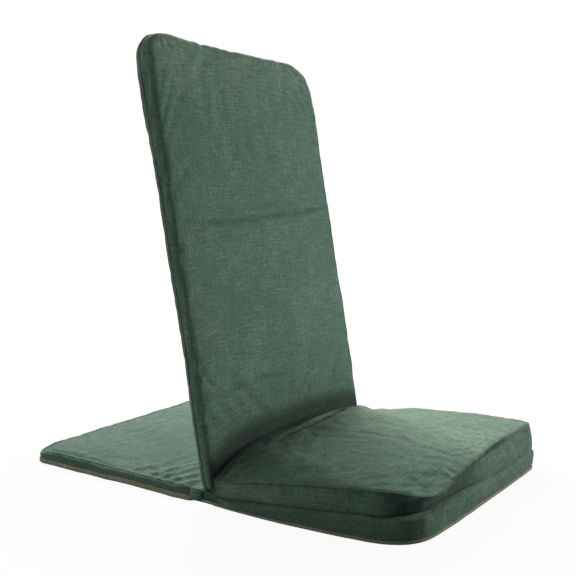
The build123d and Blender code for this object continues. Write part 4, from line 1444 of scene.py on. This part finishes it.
class CHAIR_OT_rear_panel(bpy.types.Operator):
    """Makes the rear panel: canvas cover, hem and seam"""
    bl_idname = "chair.rear_panel"
    bl_label = "Rear panel"

    def execute(self, context):
        settings = context.scene.chair_rear
        ring, roll = rear_ring(settings)
        piece, rings = slab("rear_canvas", ring, REAR_SECTION, rear_top, lambda p: FLOOR_GAP + 0 * p[..., 0],
                            settings.columns, settings.rows, roll)
        cage = places(piece)
        low = np.flatnonzero((cage[:, 2] < 0.004) | (cage[:, 1] < REAR_START + 0.008))
        inflated(piece, [*rings[0], *low], settings.pressure, settings.swell)
        smoothed(piece)
        co, normal = places(piece), normals(piece)
        put(piece, co + normal * rear_relief(co, normal, co[rings[0]])[:, None])
        co = places(piece)
        # Painted shade: the whole top a little darker and its side edges darker still; a little of the faded
        # colour everywhere.
        store_wear_and_painted_light(piece, 0.06, 0.17 + 0.22 * ease(np.abs(co[:, 0]), REAR_HALF - 0.006, REAR_HALF))
        dress(piece, canvas(), "rear_panel")
        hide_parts("rear_cover")
        laid = lay_on(surface(piece), co[rings[REAR_SEAM_RING]], STITCH_LIFT, closed=True)
        seams("rear_seam", [(laid, True)], "rear_panel", canvas())
        high = settings.hem
        section = ((-0.003, 0.0003), (0.0014, 0.0003), (0.0020, 0.0012), (0.0014, high * 0.5),
                   (0.0005, high - 0.0012), (-0.0006, high), (-0.003, high))
        bound_edge("rear_hem", co[rings[REAR_HEM_RING]], section, "rear_panel")
        return {"FINISHED"}


class CHAIR_OT_hinge_cloth(bpy.types.Operator):
    """Makes the two strips of canvas that cross the hinge between the seat and the rear panel"""
    bl_idname = "chair.hinge_cloth"
    bl_label = "Hinge cloth"

    def execute(self, context):
        centre, base = HINGE_MIDDLE, HINGE_TOP
        strips = (
            ("hinge_cloth_front", centre - HINGE_LAP, centre, "seat", "hinge_links", SEAT_REAR, centre,
             "seat_canvas"),
            ("hinge_cloth_rear", centre, centre + HINGE_LAP, "hinge_links", "rear_panel", centre, REAR_START,
             "rear_canvas"),
        )
        for name, start, end, first, second, blend_from, blend_to, under in strips:
            piece = hinge_strip(name, start, end)
            piece.data.materials.append(canvas())
            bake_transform(piece, first, second, start=(0, blend_from, base), end=(0, blend_to, base))
        return {"FINISHED"}


class CHAIR_OT_frame_finish(bpy.types.Operator):
    """Gives the frame, its hardware, the foam and the straps their finishes"""
    bl_idname = "chair.frame_finish"
    bl_label = "Frame finishes"

    def execute(self, context):
        finishes = {
            "steel_tube": hard("tube_paint", (0.020, 0.020, 0.022), (0.07, 0.07, 0.07), 1400.0, 0.42,
                               bump=0.00012),
            "steel_plate": hard("plate_paint", (0.024, 0.024, 0.027), (0.09, 0.09, 0.09), 1100.0, 0.46,
                                bump=0.00012),
            "zinc_fastener": hard("bright_zinc", (0.60, 0.61, 0.62), (0.42, 0.41, 0.38), 700.0, 0.32,
                                  metallic=1.0, bump=0.00004),
            "nylon": hard("moulded_nylon", (0.035, 0.035, 0.036), (0.08, 0.08, 0.08), 500.0, 0.5,
                          bump=0.00004),
            "rubber_block": hard("moulded_rubber", (0.018, 0.018, 0.018), (0.05, 0.05, 0.05), 420.0, 0.75),
            "foam": foam(),
            "webbing": canvas("strap_cloth"),
            "green_canvas": canvas(),
        }
        for part in frame["record"]["subparts"]:
            mesh = frame["nodes"][part["node"]].data
            mesh.materials.clear()
            mesh.materials.append(finishes[part["material_slot"]])
        return {"FINISHED"}


class CHAIR_OT_stage(bpy.types.Operator):
    """Makes the camera, the floor and the lamps"""
    bl_idname = "chair.stage"
    bl_label = "Stage"

    def execute(self, context):
        scene, settings = context.scene, context.scene.chair_stage
        camera = bpy.data.objects.new("camera", bpy.data.cameras.new("camera"))
        scene.collection.objects.link(camera)
        turn = Matrix.Rotation(radians(-settings.yaw), 3, "Z")
        tilt = Matrix.Rotation(radians(90 - settings.pitch), 3, "X")
        roll = Matrix.Rotation(radians(settings.roll), 3, "Z")
        camera.matrix_world = Matrix.Translation(settings.place) @ (turn @ tilt @ roll).to_4x4()
        camera.data.lens = settings.lens
        camera.data.sensor_width = 36
        scene.camera = camera
        floor_stage()
        room()
        lamps()
        scene.view_settings.view_transform = "Standard"
        return {"FINISHED"}


def through(tree, share, first, second, output):
    """Mixes two shaders and joins them to the output."""
    mix = node(tree, "ShaderNodeMixShader", i0=share, i1=first, i2=second)
    tree.links.new(mix.outputs[0], tree.nodes.new(output).inputs[0])


def floor_stage():
    """A plain pale floor that keeps a faint shadow and fades to white away from the chair."""
    size = 12.0
    corners = [(-size, -size, 0), (size, -size, 0), (size, size, 0), (-size, size, 0)]
    floor = shown("floor", corners, [(0, 1, 2, 3)])
    material = bpy.data.materials.new("pale_floor")
    material.use_nodes = True
    tree = material.node_tree
    tree.nodes.clear()
    paint = node(tree, "ShaderNodeBsdfDiffuse", Color=(0.42, 0.42, 0.42, 1)).outputs[0]
    glow = node(tree, "ShaderNodeEmission", Color=(1, 1, 1, 1), Strength=1.06).outputs[0]
    path = node(tree, "ShaderNodeLightPath").outputs
    place = node(tree, "ShaderNodeTexCoord").outputs["Object"]
    far = node(tree, "ShaderNodeVectorMath", {"operation": "LENGTH"}, i0=place).outputs["Value"]
    white = node(tree, "ShaderNodeMapRange", Value=far, From_Min=0.45, From_Max=1.2, To_Min=0.89,
                 To_Max=1.0).outputs[0]
    seen = times(tree, path["Is Camera Ray"], white)
    seen = maths(tree, "MAXIMUM", seen, path["Is Glossy Ray"])
    through(tree, seen, paint, glow, "ShaderNodeOutputMaterial")
    floor.data.materials.append(material)


def room():
    """A white backdrop with a little light from all round."""
    world = bpy.data.worlds.new("studio")
    bpy.context.scene.world = world
    world.use_nodes = True
    tree = world.node_tree
    tree.nodes.clear()
    dim = node(tree, "ShaderNodeBackground", Color=(1, 1, 1, 1), Strength=0.10).outputs[0]
    white = node(tree, "ShaderNodeBackground", Color=(1, 1, 1, 1), Strength=1.0).outputs[0]
    path = node(tree, "ShaderNodeLightPath").outputs
    seen = maths(tree, "MAXIMUM", path["Is Camera Ray"], path["Is Glossy Ray"])
    seen = maths(tree, "MAXIMUM", seen, path["Is Transmission Ray"])
    through(tree, seen, dim, white, "ShaderNodeOutputWorld")


# Name, place, target, width in metres and power in watts of each lamp
LAMPS = (
    ("key_behind_right", (1.757, 1.582, 1.95), (0.0, 0.0, 0.1), 1.5, 124.0),
    ("fill_front_right", (2.17, -1.98, 0.74), (0.0, 0.0, 0.2), 1.0, 60.0),
    ("fill_left", (-2.25, 1.65, 1.15), (0.0, 0.0, 0.1), 1.5, 16.0),
)


def lamps():
    """Soft boxes: a key light from behind on the right, and fills from the front right and behind left."""
    for name, place, target, size, power in LAMPS:
        data = bpy.data.lights.new(name, "AREA")
        data.size = size
        data.energy = power
        lamp = bpy.data.objects.new(name, data)
        bpy.context.scene.collection.objects.link(lamp)
        lamp.location = place
        lamp.rotation_euler = (Vector(target) - Vector(place)).to_track_quat("-Z", "Y").to_euler()


class CHAIR_PT_panel(bpy.types.Panel):
    """Lists the chair's parts"""
    bl_idname = "CHAIR_PT_panel"
    bl_label = "Floor chair"
    bl_space_type = "VIEW_3D"
    bl_region_type = "UI"
    bl_category = "Floor chair"

    def draw(self, context):
        for operator in OPERATORS:
            self.layout.operator(operator.bl_idname)


SETTINGS = {
    "chair_canvas": CanvasSettings,
    "chair_seat": SeatSettings,
    "chair_backrest": BackrestSettings,
    "chair_rear": RearSettings,
    "chair_stage": StageSettings,
}
OPERATORS = (CHAIR_OT_seat, CHAIR_OT_backrest, CHAIR_OT_rear_panel, CHAIR_OT_hinge_cloth,
             CHAIR_OT_frame_finish, CHAIR_OT_stage)


def register():
    """Registers the settings, the operators and the panel."""
    for name, group in SETTINGS.items():
        bpy.utils.register_class(group)
        setattr(bpy.types.Scene, name, PointerProperty(type=group))
    for cls in (*OPERATORS, CHAIR_PT_panel):
        bpy.utils.register_class(cls)


def unregister():
    """Takes them away again."""
    for cls in (CHAIR_PT_panel, *reversed(OPERATORS)):
        bpy.utils.unregister_class(cls)
    for name, group in reversed(SETTINGS.items()):
        delattr(bpy.types.Scene, name)
        bpy.utils.unregister_class(group)


def main():
    """Builds the looks in order."""
    register()
    bpy.ops.chair.seat()
    bpy.ops.chair.backrest()
    bpy.ops.chair.rear_panel()
    bpy.ops.chair.hinge_cloth()
    bpy.ops.chair.frame_finish()
    bpy.ops.chair.stage()


if __name__ == "__main__":
    main()
